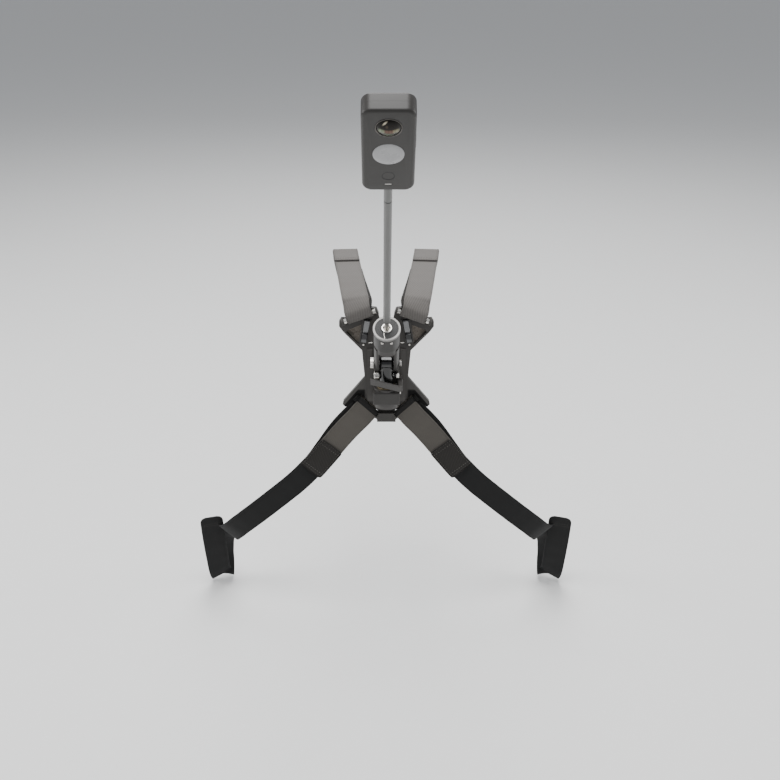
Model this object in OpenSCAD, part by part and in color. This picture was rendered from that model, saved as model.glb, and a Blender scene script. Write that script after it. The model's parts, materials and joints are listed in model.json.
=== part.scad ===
// Wearable selfie stick: a pocket camera on a telescopic rod, tilted on a back frame with four webbing straps.
// Millimetres. +Z is up, the wearer's back is at +Y and the origin is the centre of the pad's flat back face.

/* [Stick] */
// Lean of the stick at rest, from the upright
lean = 40; // [30:1:50]
// Height of the tilt axle above the centre of the pad
axle_z = 12; // [10:0.5:14]
// How far the tilt axle stands in front of the pad's back face
axle_out = 28; // [28:0.5:30]
// Length of the handle, from the tilt axle to the face of its end cap
handle_l = 79; // [76:1:84]
// Outer diameter of the handle
handle_d = 29; // [28:0.5:30]
// Outer diameter of the largest tube
tube_d = 7.8; // [7.4:0.1:8]
// Length of the stick that shows when it is shut, from the end cap to the camera
shut_l = 261.6; // [250:0.5:275]

/* [Camera] */
// Width of the camera body
cam_w = 46.2; // [44:0.1:48]
// Height of the camera body
cam_h = 107.6; // [104:0.5:110]
// Thickness of the camera body without its lenses
cam_t = 20.5; // [20:0.1:22]

/* [Frame and straps] */
// Thickness of the moulded back plate in front of its pad
plate_t = 6.5; // [6:0.5:7]
// Width of the upper webbing
upper_w = 30.5; // [28:0.5:31]
// Width of the lower webbing
lower_w = 30; // [28:0.5:30]
// Thickness of the webbing
web_t = 1.8; // [1.5:0.1:2]

/* [Hidden] */
$fn = 64;
fit = 0.05;                       // radial clearance of a running fit
plate_y = -(2.5 + plate_t);       // front face of the moulded plate
pad_t = 2.5;
pin_y = plate_y - 2;              // strap pins, in the plate's ears
pin_d = 4;
upper_pin = [30.5, 62.5];           // centre of an upper strap pin, x and z
upper_slant = 20;               // how far an upper pin's outer end drops
lower_pin = [22.3, -51];          // centre of a lower strap pin
lower_slant = 42.5;
gauge = 0.45;                     // wall of the tubes
step = 1.2;                       // drop in diameter from one tube to the next
d2 = tube_d - step;
d3 = tube_d - 2 * step;
d4 = tube_d - 3 * step;
tube_start = handle_l + 15;       // foot of the largest tube, on a thinner stud
head_at = handle_l + shut_l - 27; // underside of the head's collar, along the stick
cam_at = handle_l + shut_l;       // underside of the camera, along the stick
cam_r = 9;
axle_d = 5;
post_d = 15.8;
lens_z = 86.2;
screen_z = 51.7;
shutter_z = 21.7;
CORNERS = [[1, 1], [1, -1], [-1, 1], [-1, -1]];

// ---- placing ----
module on_stick(at = 0) {
    translate([0, -axle_out, axle_z]) rotate([lean, 0, 0]) translate([0, 0, at]) children();
}
module both_sides() {
    children();
    mirror([1, 0, 0]) children();
}
module along_y(at) {
    translate([0, at, 0]) rotate([90, 0, 0]) children();
}
module upper_pin_frame() {
    translate([upper_pin[0], pin_y, upper_pin[1]]) rotate([0, upper_slant, 0]) children();
}
module lower_pin_frame() {
    translate([lower_pin[0], pin_y, lower_pin[1]]) rotate([0, -lower_slant, 0]) children();
}
module rod_x(d, x0, x1) {
    translate([x0, 0, 0]) rotate([0, 90, 0]) cylinder(d = d, h = x1 - x0);
}
module ring(od, id, h) {
    difference() {
        cylinder(d = od, h = h);
        translate([0, 0, -1]) cylinder(d = id, h = h + 2);
    }
}

// ---- back plate ----
HALF = [[0, 58], [8, 58], [9.5, 67], [12, 71.5], [17, 72], [21, 68], [45, 58.5], [52, 59], [54.5, 55], [54.5, 49.5],
    [50, 43], [28.4, 20], [25.4, -14], [50.5, -44.5], [51.5, -48.5], [48.5, -51.5], [44.5, -50.5], [37.5, -44],
    [29.6, -36.1], [9.5, -54.5], [11.2, -60], [11.2, -68.5], [0, -68.5]];
function flip(p) = [for (i = [len(p) - 1:-1:0]) [-p[i][0], p[i][1]]];
module outline() { polygon(concat(HALF, flip(HALF))); }
module inner_outline() {
    intersection() {
        scale(0.955) outline();
        translate([-47, -60]) square([94, 119]);
    }
}
module window() { polygon([[29, 51.5], [45.5, 44.5], [46.4, 42], [33, 28], [31, 28.5]]); }
module latch_slot(w) { translate([24.6, 42.5]) rotate(10) translate([-w / 2, -12.5]) square([w, 28.5]); }
module back_frame() {
    color([0.25, 0.24, 0.235]) difference() {
        union() {
            along_y(-pad_t) linear_extrude(plate_t) difference() {
                outline();
                both_sides() window();
            }
            both_sides() {
                for (s = [-1, 1]) {
                    upper_pin_frame() rod_x(8.6, s > 0 ? 19.6 : -21.8, s > 0 ? 22.2 : -19.6);
                    lower_pin_frame() rod_x(8.4, s > 0 ? 15.7 : -19, s > 0 ? 19 : -15.7);
                }
                along_y(plate_y + 0.5) linear_extrude(3) latch_slot(10.4);
                // Raised rails that the carriage slides between
                translate([16.2, plate_y - 4, -42.5]) cube([6.2, 5, 64.5]);
                translate([13.4, plate_y - 4, -42.5]) cube([4, 1.4, 42.5]);
            }
            // Stop that the carriage stands on
            translate([-16.4, plate_y - 4, -42.5]) cube([32.8, 5, 4]);
            translate([-11, plate_y - 6, -68.5]) cube([22, 7, 10.8]);
        }
        both_sides() {
            upper_pin_frame() rod_x(pin_d + 0.02, -20.9, 20.9);
            lower_pin_frame() rod_x(pin_d + 0.02, -17.8, 17.8);
            // Room for the collars and for the webbing round the pins
            upper_pin_frame() rod_x(6.8, -19.5, 19.5);
            upper_pin_frame() rod_x(10.2, -15.6, 15.6);
            lower_pin_frame() rod_x(10.2, -15.4, 15.4);
            translate([26.6, plate_y + 2, 27]) rotate([90, 0, 0]) cylinder(d = 2.3, h = 6);
            // Pocket of the release button
            along_y(plate_y + 4) linear_extrude(12) latch_slot(7.2);
        }
        for (z = [-30, 34]) translate([0, 0, z]) rotate([90, 0, 0]) cylinder(d = 3, h = 20);
        for (z = [-30, 34]) translate([0, plate_y + 2.4, z]) rotate([90, 0, 0]) cylinder(d = 6, h = 6);
    }
}
module back_pad() {
    color([0.42, 0.38, 0.34]) along_y(0) linear_extrude(pad_t) difference() {
        union() {
            inner_outline();
            both_sides() polygon([[27, -34], [33.6, -40.5], [13.5, -58.9], [9, -54]]);
        }
        for (z = [-30, 34]) translate([0, z]) circle(d = 3.4);
    }
}
module pad_screws() {
    color([0.7, 0.7, 0.7]) for (z = [-30, 34]) translate([0, plate_y + 2.4, z]) {
        rotate([-90, 0, 0]) cylinder(d = 3, h = plate_t - 1);
        rotate([90, 0, 0]) difference() {
            cylinder(d = 5.6, h = 2);
            translate([0, 0, 1]) cylinder(d = 2.6, h = 2, $fn = 6);
        }
    }
    color([0.7, 0.7, 0.7]) both_sides() translate([26.6, plate_y + 1.9, 27]) rotate([90, 0, 0]) cylinder(d = 2.2, h = 2.6);
}
module upper_strap_pins() {
    color([0.8, 0.79, 0.76]) both_sides() upper_pin_frame() union() {
        rod_x(pin_d, -20.8, 20.8);
        for (s = [-1, 1]) rod_x(6.2, s > 0 ? 15.7 : -19.4, s > 0 ? 19.4 : -15.7);
    }
}
module lower_strap_pins() {
    color([0.3, 0.3, 0.3]) both_sides() lower_pin_frame() rod_x(pin_d, -17.6, 17.6);
}

// ---- webbing: a band swept along a curve, each station is [x, y, z, width direction] ----
function spline(a, b, c, d, u) = 0.5 * (2 * b + (c - a) * u + (2 * a - 5 * b + 4 * c - d) * u * u
    + (3 * b - a - 3 * c + d) * u * u * u);
function curve(p, n) = [for (i = [0:len(p) - 2]) for (j = [0:n - 1])
    spline(p[max(i - 1, 0)], p[i], p[i + 1], p[min(i + 2, len(p) - 1)], j / n), p[len(p) - 1]];
function place(s) = [s[0], s[1], s[2]];
function across(s) = [s[3], s[4], s[5]];
function unit(v) = v / norm(v);
function corners(s, w, t) = [for (i = [0:len(s) - 1])
    let (run = unit(place(s[min(i + 1, len(s) - 1)]) - place(s[max(i - 1, 0)])),
        raw = across(s[i]), side = unit(raw - run * (raw * run)), up = cross(run, side))
    for (k = [[1, 1], [-1, 1], [-1, -1], [1, -1]]) place(s[i]) + side * k[0] * w / 2 + up * k[1] * t / 2];
module band(stations, w, t, n = 3) {
    s = curve(stations, n);
    last = 4 * (len(s) - 1);
    polyhedron(points = corners(s, w, t), faces = concat(
        [[0, 1, 2], [0, 2, 3], [last + 2, last + 1, last], [last + 3, last + 2, last]],
        [for (i = [0:len(s) - 2]) for (k = [0:3])
            for (f = [[4 * i + k, 4 * i + 4 + k, 4 * i + (k + 1) % 4],
                [4 * i + (k + 1) % 4, 4 * i + 4 + k, 4 * i + 4 + (k + 1) % 4]]) f]), convexity = 6);
}
BAR_U = [cos(upper_slant), 0, -sin(upper_slant)];
UP_U = [sin(upper_slant), 0, cos(upper_slant)];
function by_upper(up, out) = concat([upper_pin[0], pin_y - out, upper_pin[1]] + up * UP_U, BAR_U);
wrap = pin_d / 2 + web_t / 2 + 0.3;
UPPER = [[44, 78, 89.6, 0.985, -0.12, -0.03], [40, 50, 86.2, 0.985, -0.12, -0.03], [33.2, 6, 80.2, 0.97, -0.06, -0.1],
    [31.4, -3.6, 75.2, 0.95, 0.02, -0.25], by_upper(7.5, -wrap - 0.3), by_upper(2, -wrap), by_upper(-wrap * 0.8, -wrap * 0.75), by_upper(-wrap * 1.2, 0),
    by_upper(-wrap * 0.8, wrap * 0.75), by_upper(2, wrap), by_upper(9, wrap - 0.4),
    [35, -6.5, 79, 0.95, 0.02, -0.2], [37, 5, 84, 0.97, -0.06, -0.1], [42, 50, 89.5, 0.985, -0.12, -0.03],
    [47, 100, 93.2, 0.99, -0.13, 0], [50.6, 137, 95.4, 0.99, -0.13, 0], [52, 155, 91.3, 0.99, -0.13, 0],
    [51, 164, 78, 0.99, -0.13, 0], [47.5, 167.5, 58, 0.99, -0.13, 0]];
UPPER_BACK = [[47.4, 164, 60, 0.99, -0.13, 0], [50.6, 160.6, 76.2, 0.99, -0.13, 0], [51.5, 152.4, 88, 0.99, -0.13, 0],
    [50.2, 136, 92, 0.99, -0.13, 0]];
UPPER_HEM = [[50.8, 138, 98, 0.99, -0.13, 0], [49.3, 121, 97, 0.99, -0.13, 0], [47.3, 100, 95.7, 0.99, -0.13, 0]];
BAR_L = [cos(lower_slant), 0, sin(lower_slant)];
DOWN_L = [sin(lower_slant), 0, -cos(lower_slant)];
function by_lower(down, out) = concat([lower_pin[0], pin_y - out, lower_pin[1]] + down * DOWN_L, BAR_L);
function lay(x, z, a, y) = [x, y, z, cos(a), 0, sin(a)];
LOWER = [lay(87, -132.8, 40, -2.85), lay(79, -123, 38.5, -2.85), lay(65.2, -105.7, 38, -3.2), lay(52.5, -89, 37.5, -5.2),
    lay(41.5, -74.5, 38, -9.6), lay(32.6, -63.4, 40, -13.7), by_lower(2, -wrap), by_lower(-wrap * 0.8, -wrap * 0.75),
    by_lower(-wrap * 1.2, 0), by_lower(-wrap * 0.8, wrap * 0.75), by_lower(2, wrap), lay(33.4, -61.2, 41, -8.3),
    lay(44.8, -72, 39, -5.2), lay(55.6, -86.6, 38, -1.9), lay(67.2, -104.1, 38, -0.9), lay(79.6, -122.5, 38.5, -0.9),
    lay(87, -132.8, 40, -0.9)];
HOOK = [lay(84, -129, 39.5, 1.1), lay(106, -153, 45, 1.3), lay(131.3, -175.8, 49, 1.8), lay(161.1, -201.5, 49, 3.4),
    lay(180.6, -219.4, 46, 8), lay(193, -233.4, 44, 16.5), lay(201, -245.5, 43, 32), [206, 50, -252, 0.7, -0.2, 0.62],
    [212, 66, -273, 0.72, -0.5, 0.36], [214.5, 75, -298, 0.75, -0.6, 0.1], [215, 76, -317, 0.78, -0.58, -0.05],
    [216.5, 68, -327, 0.82, -0.5, -0.12], [219, 59, -317, 0.86, -0.42, -0.14], [220.5, 51, -290, 0.93, -0.3, -0.12],
    [222, 43, -257, 0.95, -0.25, -0.1], [223, 37, -226, 0.96, -0.2, -0.08]];
TAB = [lay(64.6, -105, 38, -5), lay(76, -119.3, 38.4, -4.85), lay(87.8, -133.9, 39.6, -4.75), lay(92.6, -139.6, 41, -2.3)];
module strap_upper() {
    color([0.57, 0.55, 0.53]) union() {
        band(UPPER, upper_w, web_t);
        band(UPPER_BACK, upper_w, web_t);
        band(UPPER_HEM, upper_w, web_t);
    }
}
module strap_upper_right() { strap_upper(); }
module strap_upper_left() { mirror([1, 0, 0]) strap_upper(); }
module strap_lower() { color([0.33, 0.31, 0.29]) band(LOWER, lower_w, web_t); }
module strap_lower_right() { strap_lower(); }
module strap_lower_left() { mirror([1, 0, 0]) strap_lower(); }
module hook_strap() { color([0.13, 0.13, 0.13]) band(HOOK, lower_w - 1, web_t); }
module hook_strap_right() { hook_strap(); }
module hook_strap_left() { mirror([1, 0, 0]) hook_strap(); }
module strap_tabs() {
    color([0.36, 0.34, 0.32]) both_sides()
        band(TAB, lower_w + 0.6, 1.4);
}

// ---- squeeze latch at the top of the channel ----
module release_button() {
    color([0.5, 0.53, 0.56]) translate([24.6, 0, 42.5]) rotate([0, -10, 0]) difference() {
        union() {
            translate([-3, plate_y - 6.5, 2.5]) cube([6, 9, 12]);
            translate([-3, plate_y - 5.5, -11]) cube([6, 8, 10]);
            translate([-2.6, plate_y - 2.5, -3]) cube([5.2, 5, 7]);
        }
        translate([0, plate_y + 4, -6]) rotate([90, 0, 0]) cylinder(d = 4, h = 5);
    }
}
module release_button_right() { release_button(); }
module release_button_left() { mirror([1, 0, 0]) release_button(); }
module release_springs() {
    color([0.75, 0.75, 0.76]) both_sides() {
        translate([24.6, 0, 42.5]) rotate([0, -10, 0])
            translate([0, plate_y + 3.95, -6]) rotate([90, 0, 0]) ring(3.4, 2.4, 3.4);
        // Tail of the spring wire, beside the channel
        translate([0, plate_y - 0.62, 29.6]) rod_x(1.1, 16.3, 20.4);
    }
}

// ---- carriage that lifts out of the channel ----
module base_block() {
    color([0.27, 0.26, 0.255]) difference() {
        union() {
            // Foot behind the rail lips, its web and the wings in front of them
            translate([-15.8, plate_y - 2.3, -38]) cube([31.6, 2, 38]);
            translate([-13, plate_y - 5, -38]) cube([26, 4.7, 54]);
            translate([-15.5, plate_y - 8.6, -38]) cube([31, 4.3, 40]);
            // Socket of the swivel post
            translate([-13, -axle_out, -38]) cube([26, axle_out + plate_y - 4, 20.5]);
            translate([-15.4, -42.6, -34.4]) cube([30.8, 42.6 + plate_y - 4.4, 14.9]);
            translate([0, -axle_out, -41]) cylinder(d = 28.8, h = 23.5);
            // Ears of the lever
            translate([13.4, -25, -20.5]) cube([4.6, 6, 3.2]);
            translate([13.4, -25, -10.9]) cube([4.6, 8, 2.9]);
        }
        translate([0, -axle_out, -32.1]) cylinder(d = 11 + 2 * fit, h = 40);
        translate([0, -axle_out, -17.5]) cylinder(d = 24, h = 10.1);
        translate([0, -axle_out, -7.9]) cylinder(d = 34.2, h = 40);
        translate([15.7, -22, -30]) cylinder(d = 2.5, h = 60);
    }
}
module base_cover() {
    color([0.3, 0.29, 0.285]) translate([-14.4, -43.9, -33.9]) cube([28.8, 1.28, 13.6]);
}
module lever_pin() {
    color([0.75, 0.75, 0.74]) translate([15.7, -22, -29]) cylinder(d = 2.45, h = 20.8);
}
module cam_lever() {
    color([0.36, 0.355, 0.35]) difference() {
        union() {
            hull() {
                translate([-18.2, -45.4, -8.2]) cube([1, 3.4, 6.4]);
                translate([14.8, -44.4, -17.5]) cube([1.5, 3.4, 6.2]);
            }
            translate([13.8, -44, -16.9]) cube([4.6, 18.4, 5.6]);
            translate([15.7, -22, -16.9]) cylinder(d = 6.4, h = 5.6);
            translate([13.8, -27, -16.9]) cube([4, 5, 5.6]);
        }
        translate([15.7, -22, -30]) cylinder(d = 2.5 + 2 * fit, h = 40);
    }
}

// ---- swivel post and its clamp bolt ----
module knuckle_post() {
    color([0.07, 0.07, 0.07]) translate([0, -axle_out, 0]) difference() {
        union() {
            translate([0, 0, -32]) cylinder(d = 11, h = 20);
            translate([0, 0, -15.7]) cylinder(d = post_d, h = 15.7 + axle_z - 3.2);
            translate([0, 0, axle_z]) intersection() {
                rod_x(post_d, -7.9, 7.9);
                sphere(d = 19.4);
            }
        }
        translate([0, 0, axle_z]) rod_x(axle_d + 2 * fit, -20, 20);
        translate([0, -1, -2.5]) rod_x(4, -20, 20);
    }
}
module thrust_washer() {
    color([0.85, 0.84, 0.8]) translate([0, -axle_out, -17.45]) ring(22, 11.6, 1.4);
}
module clamp_bolt() {
    color([0.86, 0.85, 0.8]) translate([0, -axle_out - 1, -2.5]) union() {
        rod_x(3.9, -10, 14.6);
        rod_x(10, -14.4, -8.1);
    }
}
module clamp_spacer() {
    color([0.1, 0.1, 0.1]) translate([0, -axle_out - 1, -2.5]) rotate([0, 90, 0]) translate([0, 0, 8.1]) ring(8, 4.1, 3.2);
}
module clamp_nut() {
    color([0.8, 0.8, 0.77]) translate([0, -axle_out - 1, -2.5]) rotate([0, 90, 0]) translate([0, 0, 11.4]) difference() {
        cylinder(d = 9, h = 3, $fn = 6);
        translate([0, 0, -1]) cylinder(d = 4, h = 5);
    }
}

// ---- tilting handle ----
PRONG_OUT = 14.2;
PRONG_IN = 8.7;
module fork_arm() {
    color([0.31, 0.305, 0.3]) on_stick() difference() {
        union() {
            translate([0, 0, 38]) cylinder(d = handle_d - 2, h = 22);
            for (s = [-1, 1]) intersection() {
                cylinder(d = handle_d, h = 44);
                translate([s > 0 ? PRONG_IN : -PRONG_OUT, -9, 0]) cube([PRONG_OUT - PRONG_IN, 18, 44]);
            }
            for (s = [-1, 1]) rod_x(18, s > 0 ? PRONG_IN : -PRONG_OUT, s > 0 ? PRONG_OUT : -PRONG_IN);
        }
        rod_x(axle_d + 0.1, -20, 20);
        translate([0, 0, 38]) rod_x(2 * PRONG_IN, -PRONG_IN, PRONG_IN);
        translate([0, 0, 49.5]) cylinder(d = tube_d + 2.3, h = 30);
    }
}
module handle_sleeve() {
    color([0.27, 0.265, 0.26]) on_stick(50) difference() {
        cylinder(d = handle_d, h = handle_l - 50 - 3);
        translate([0, 0, -1]) cylinder(d = handle_d - 1.9, h = 11.1);
        translate([0, 0, 5]) cylinder(d = tube_d + 2.3, h = 40);
        for (s = [-1, 1]) translate([s * 5, -12.6, 20]) rotate([90, 0, 0]) cylinder(d = 3, h = 5);
    }
}
module cap_screws() {
    color([0.86, 0.85, 0.82]) on_stick(70) for (s = [-1, 1])
        translate([s * 5, -12.65, 0]) rotate([90, 0, 0]) difference() {
            cylinder(d = 2.9, h = 1.6);
            translate([0, 0, 0.9]) cylinder(d = 1.4, h = 2, $fn = 6);
        }
}
module end_cap() {
    color([0.5, 0.5, 0.49]) on_stick(handle_l - 3) difference() {
        cylinder(d = handle_d - 1, h = 2.6);
        translate([0, 0, -1]) cylinder(d = tube_d + 2.3, h = 8);
        translate([-2.7, -13.2, 1.5]) rotate(7) cube([1, 10.6, 3]);
    }
}
module cap_rim() {
    color([0.8, 0.79, 0.76]) on_stick(handle_l - 3) difference() {
        cylinder(d = handle_d + 1.6, h = 3);
        translate([0, 0, -1]) cylinder(d = handle_d - 0.9, h = 3.6);
        // Lip over the edge of the cap
        cylinder(d = handle_d - 3, h = 6);
    }
}
module tilt_axle() {
    color([0.85, 0.84, 0.8]) on_stick() union() {
        rod_x(axle_d, -18.2, 16.6);
    }
}
module axle_nut() {
    color([0.85, 0.84, 0.8]) on_stick() rotate([0, 90, 0]) translate([0, 0, 14.9]) difference() {
        cylinder(d = 8, h = 2.4, $fn = 6);
        translate([0, 0, -1]) cylinder(d = axle_d + 0.1, h = 5);
    }
}
module friction_washers() {
    color([0.12, 0.12, 0.12]) on_stick() for (x = [-PRONG_IN + 0.05, PRONG_IN - 0.65, -14.8, 14.25])
        translate([x, 0, 0]) rotate([0, 90, 0]) ring(13, axle_d + 0.1, 0.5);
}
module tilt_knob() {
    color([0.86, 0.85, 0.82]) on_stick() translate([-18.4, 0, 0]) rotate([0, 90, 0]) difference() {
        cylinder(d = 13, h = 3.5);
        translate([0, 0, -1]) cylinder(d = axle_d + 2 * fit, h = 6);
        for (a = [0:30:330]) rotate(a) translate([7, 0, -1]) cylinder(d = 1.6, h = 6, $fn = 16);
    }
}

// ---- telescopic tubes: shut, each one stands inside the one before ----
module rod_ferrule() {
    color([0.86, 0.85, 0.82]) on_stick(handle_l - 29) union() {
        cylinder(d = tube_d + 2.2, h = 26);
        cylinder(d = 5, h = 29 + tube_start - handle_l);
        translate([0, 0, 25.9]) ring(tube_d + 2.2, tube_d + 0.4, 4.3);
        translate([0, 0, 28.7]) ring(tube_d + 3.8, tube_d + 0.4, 1.5);
    }
}
module tube_1() {
    color([0.42, 0.42, 0.42]) on_stick(tube_start) difference() {
        cylinder(d = tube_d, h = head_at - tube_start - 0.6);
        translate([0, 0, 2]) cylinder(d = tube_d - 2 * gauge, h = 400);
    }
}
module nested(d, inner, from) {
    on_stick(from) difference() {
        union() {
            cylinder(d = inner - 2 * fit, h = 12);
            cylinder(d = d, h = head_at - 0.6 - from);
        }
        translate([0, 0, 1.5]) cylinder(d = d - 2 * gauge, h = 400);
    }
}
module tube_2() { color([0.5, 0.5, 0.5]) nested(d2, tube_d - 2 * gauge, tube_start + 2.6); }
module tube_3() { color([0.55, 0.55, 0.55]) nested(d3, d2 - 2 * gauge, tube_start + 4.6); }
module rod_4() {
    color([0.6, 0.6, 0.6]) on_stick(tube_start + 6.6) union() {
        cylinder(d = d3 - 2 * gauge - 2 * fit, h = 12);
        cylinder(d = d4, h = head_at - tube_start - 6.6 + 1);
    }
}
module head_platform() {
    color([0.3, 0.3, 0.3]) on_stick(head_at) difference() {
        union() {
            cylinder(d = tube_d, h = 25);
            translate([0, 0, 20.4]) cylinder(d1 = tube_d, d2 = 11.8, h = 2.6);
            translate([0, 0, 23]) cylinder(d = 11.8, h = 3);
        }
        translate([0, 0, -1]) cylinder(d = d4 + 0.04, h = 3);
        translate([0, 0, 23.9]) cylinder(d = 4.06, h = 6);
    }
}
module head_screw() {
    color([0.8, 0.8, 0.78]) on_stick(head_at + 24) union() {
        cylinder(d = 4, h = 3.2);
        translate([0, 0, 3.2]) cylinder(d = 6.35, h = 5);
    }
}
module head_washer() {
    color([0.08, 0.08, 0.08]) on_stick(head_at + 26.05) ring(11.4, 6.5, 0.85);
}

// ---- camera ----
module cam_profile(w, h, r) {
    union() {
        translate([-w / 2 + r, 0]) square([w - 2 * r, h]);
        translate([-w / 2, r]) square([w, h - 2 * r]);
        for (c = CORNERS) translate([c[0] * (w / 2 - r), c[1] > 0 ? h - r : r]) circle(r);
    }
}
module cam_slab(w, h, r, y0, y1) {
    translate([0, y1, 0]) rotate([90, 0, 0]) linear_extrude(y1 - y0) cam_profile(w, h, r);
}
module shell_solid(y0, y1) {
    edge = 3.2;
    front = y0 < 0;
    hull() {
        cam_slab(cam_w, cam_h, cam_r, front ? y0 + edge : y0, front ? y1 : y1 - edge, $fn = 48);
        for (a = [18:18:90]) {
            in = edge * (1 - cos(a));
            out = edge * (1 - sin(a));
            translate([0, 0, in]) cam_slab(cam_w - 2 * in, cam_h - 2 * in, cam_r - in,
                front ? y0 + out : y1 - out - 0.1, front ? y0 + out + 0.1 : y1 - out, $fn = 48);
        }
    }
}
module shell(front) {
    y0 = front ? -cam_t / 2 : 0.02;
    y1 = front ? -0.02 : cam_t / 2;
    s = front ? -1 : 1;
    difference() {
        shell_solid(y0, y1);
        translate([0, 0, 1.8]) cam_slab(cam_w - 3.6, cam_h - 3.6, cam_r - 1.8, front ? y0 + 1.9 : -1, front ? 1 : y1 - 1.9);
        translate([0, 0, lens_z]) rotate([90, 0, 0]) cylinder(d = 23.1, h = 60, center = true);
        translate([0, 0, -1]) cylinder(d = 10, h = 5);
        translate([cam_w / 2 - 4, -3.2, 52]) cube([8, 6.4, 14]);
        translate([-cam_w / 2 - 4, -4.5, 40]) cube([8, 9, 22]);
        translate([-cam_w / 2 + 1.5, -5.4, 41.6]) rotate([-90, 0, 0]) cylinder(d = 1.04, h = 10.8);
        if (front) {
            translate([0, 0, screen_z]) rotate([90, 0, 0]) cylinder(d = 27.4, h = 30);
            translate([0, 0, shutter_z]) rotate([90, 0, 0]) cylinder(d = 11.4, h = 30);
            translate([-3, -20, 9]) cube([6, 20, 1.6]);
        }
    }
}
module camera_front_shell() { color([0.33, 0.325, 0.315]) on_stick(cam_at) shell(true); }
module camera_rear_shell() { color([0.33, 0.325, 0.315]) on_stick(cam_at) shell(false); }
module tripod_insert() {
    color([0.8, 0.7, 0.45]) on_stick(cam_at) difference() {
        union() {
            translate([0, 0, 0.1]) cylinder(d = 9.9, h = 7);
            translate([0, 0, 4.1]) cylinder(d = 13, h = 2);
        }
        translate([0, 0, -1]) cylinder(d = 6.45, h = 6.4);
    }
}
module dome(front) {
    r = 13.2;
    translate([0, 0, lens_z]) rotate([front ? 90 : -90, 0, 0]) translate([0, 0, cam_t / 2 - 1.2])
        rotate_extrude() intersection() {
            translate([0, -r + 5.3]) circle(r);
            translate([0, 0]) square([10.2, 12]);
        }
}
module lens_front() { color([0.12, 0.1, 0.08]) on_stick(cam_at) dome(true); }
module lens_rear() { color([0.12, 0.1, 0.08]) on_stick(cam_at) dome(false); }
module lens_bezels() {
    color([0.42, 0.41, 0.4]) on_stick(cam_at) for (a = [90, -90]) translate([0, 0, lens_z]) rotate([a, 0, 0])
        translate([0, 0, cam_t / 2 - 1.8]) ring(22.9, 20.6, 2.3);
}
module lens_barrels() {
    color([0.1, 0.1, 0.1]) on_stick(cam_at) for (s = [-1, 1]) translate([0, 0, lens_z])
        rotate([s * 90, 0, 0]) translate([0, 0, 0.2]) cylinder(d = 18, h = cam_t / 2 - 1.6);
}
module screen_glass() {
    color([0.62, 0.62, 0.62]) on_stick(cam_at) translate([0, -cam_t / 2 + 0.7, screen_z]) rotate([90, 0, 0])
        cylinder(d = 27.2, h = 0.9);
}
module display_panel() {
    color([0.1, 0.1, 0.12]) on_stick(cam_at) translate([0, -cam_t / 2 + 2.9, screen_z]) rotate([90, 0, 0])
        cylinder(d = 26, h = 2);
}
module main_board() {
    color([0.1, 0.3, 0.16]) on_stick(cam_at) translate([-18, -7, 13]) cube([36, 1.2, 62]);
}
module battery() {
    color([0.2, 0.2, 0.22]) on_stick(cam_at) translate([-15, -3, 12]) cube([31, 11, 52]);
}
module shell_screws() {
    color([0.7, 0.7, 0.7]) on_stick(cam_at) for (x = [-17, 17]) translate([x, 0, 9]) rotate([90, 0, 0])
        translate([0, 0, -8.25]) cylinder(d = 2, h = 16.5);
}
module shutter_button() {
    color([0.36, 0.355, 0.345]) on_stick(cam_at) translate([0, -cam_t / 2 + 2, shutter_z]) rotate([90, 0, 0])
        union() {
            cylinder(d = 11, h = 1.9);
            translate([0, 0, -0.65]) cylinder(d = 9, h = 1);
        }
}
module power_button() {
    color([0.36, 0.355, 0.345]) on_stick(cam_at) translate([cam_w / 2 - 2.2, -3, 52.2]) cube([2.6, 6, 13.6]);
}
module microphone_grille() {
    color([0.6, 0.6, 0.58]) on_stick(cam_at) translate([-2.9, -cam_t / 2 + 0.2, 9.1]) cube([5.8, 1.2, 1.4]);
}
module port_door() {
    color([0.3, 0.295, 0.285]) on_stick(cam_at) difference() {
        union() {
            translate([-cam_w / 2 + 0.05, -4.2, 41.6]) cube([1.6, 8.4, 20.2]);
            translate([-cam_w / 2 + 1.5, -4.2, 41.6]) rotate([-90, 0, 0]) cylinder(d = 2.4, h = 8.4);
        }
        translate([-cam_w / 2 + 1.5, -9, 41.6]) rotate([-90, 0, 0]) cylinder(d = 1.1, h = 18);
    }
}
module door_pin() {
    color([0.8, 0.8, 0.8]) on_stick(cam_at) translate([-cam_w / 2 + 1.5, -5.3, 41.6]) rotate([-90, 0, 0])
        cylinder(d = 1, h = 10.6);
}

back_frame();
back_pad();
upper_strap_pins();
lower_strap_pins();
pad_screws();
strap_upper_left();
strap_upper_right();
strap_lower_left();
strap_lower_right();
hook_strap_left();
hook_strap_right();
strap_tabs();
release_button_left();
release_button_right();
release_springs();
base_block();
base_cover();
lever_pin();
cam_lever();
knuckle_post();
thrust_washer();
clamp_bolt();
clamp_spacer();
clamp_nut();
fork_arm();
handle_sleeve();
cap_screws();
end_cap();
cap_rim();
tilt_axle();
axle_nut();
friction_washers();
tilt_knob();
rod_ferrule();
tube_1();
tube_2();
tube_3();
rod_4();
head_platform();
head_screw();
head_washer();
camera_front_shell();
camera_rear_shell();
tripod_insert();
lens_front();
lens_rear();
lens_bezels();
lens_barrels();
screen_glass();
display_panel();
main_board();
battery();
shell_screws();
shutter_button();
power_button();
microphone_grille();
port_door();
door_pin();
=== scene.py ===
"""Finished look of the wearable selfie stick: camera, telescopic stick, tilting carriage, back frame and harness.

Everything is in metres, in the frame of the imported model: +Z up, the wearer's back at +Y.
"""

import json
import logging
import math
from collections.abc import Iterable, Sequence
from dataclasses import dataclass, field
from enum import Enum

import bmesh
import bpy
from mathutils import Matrix, Vector

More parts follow.
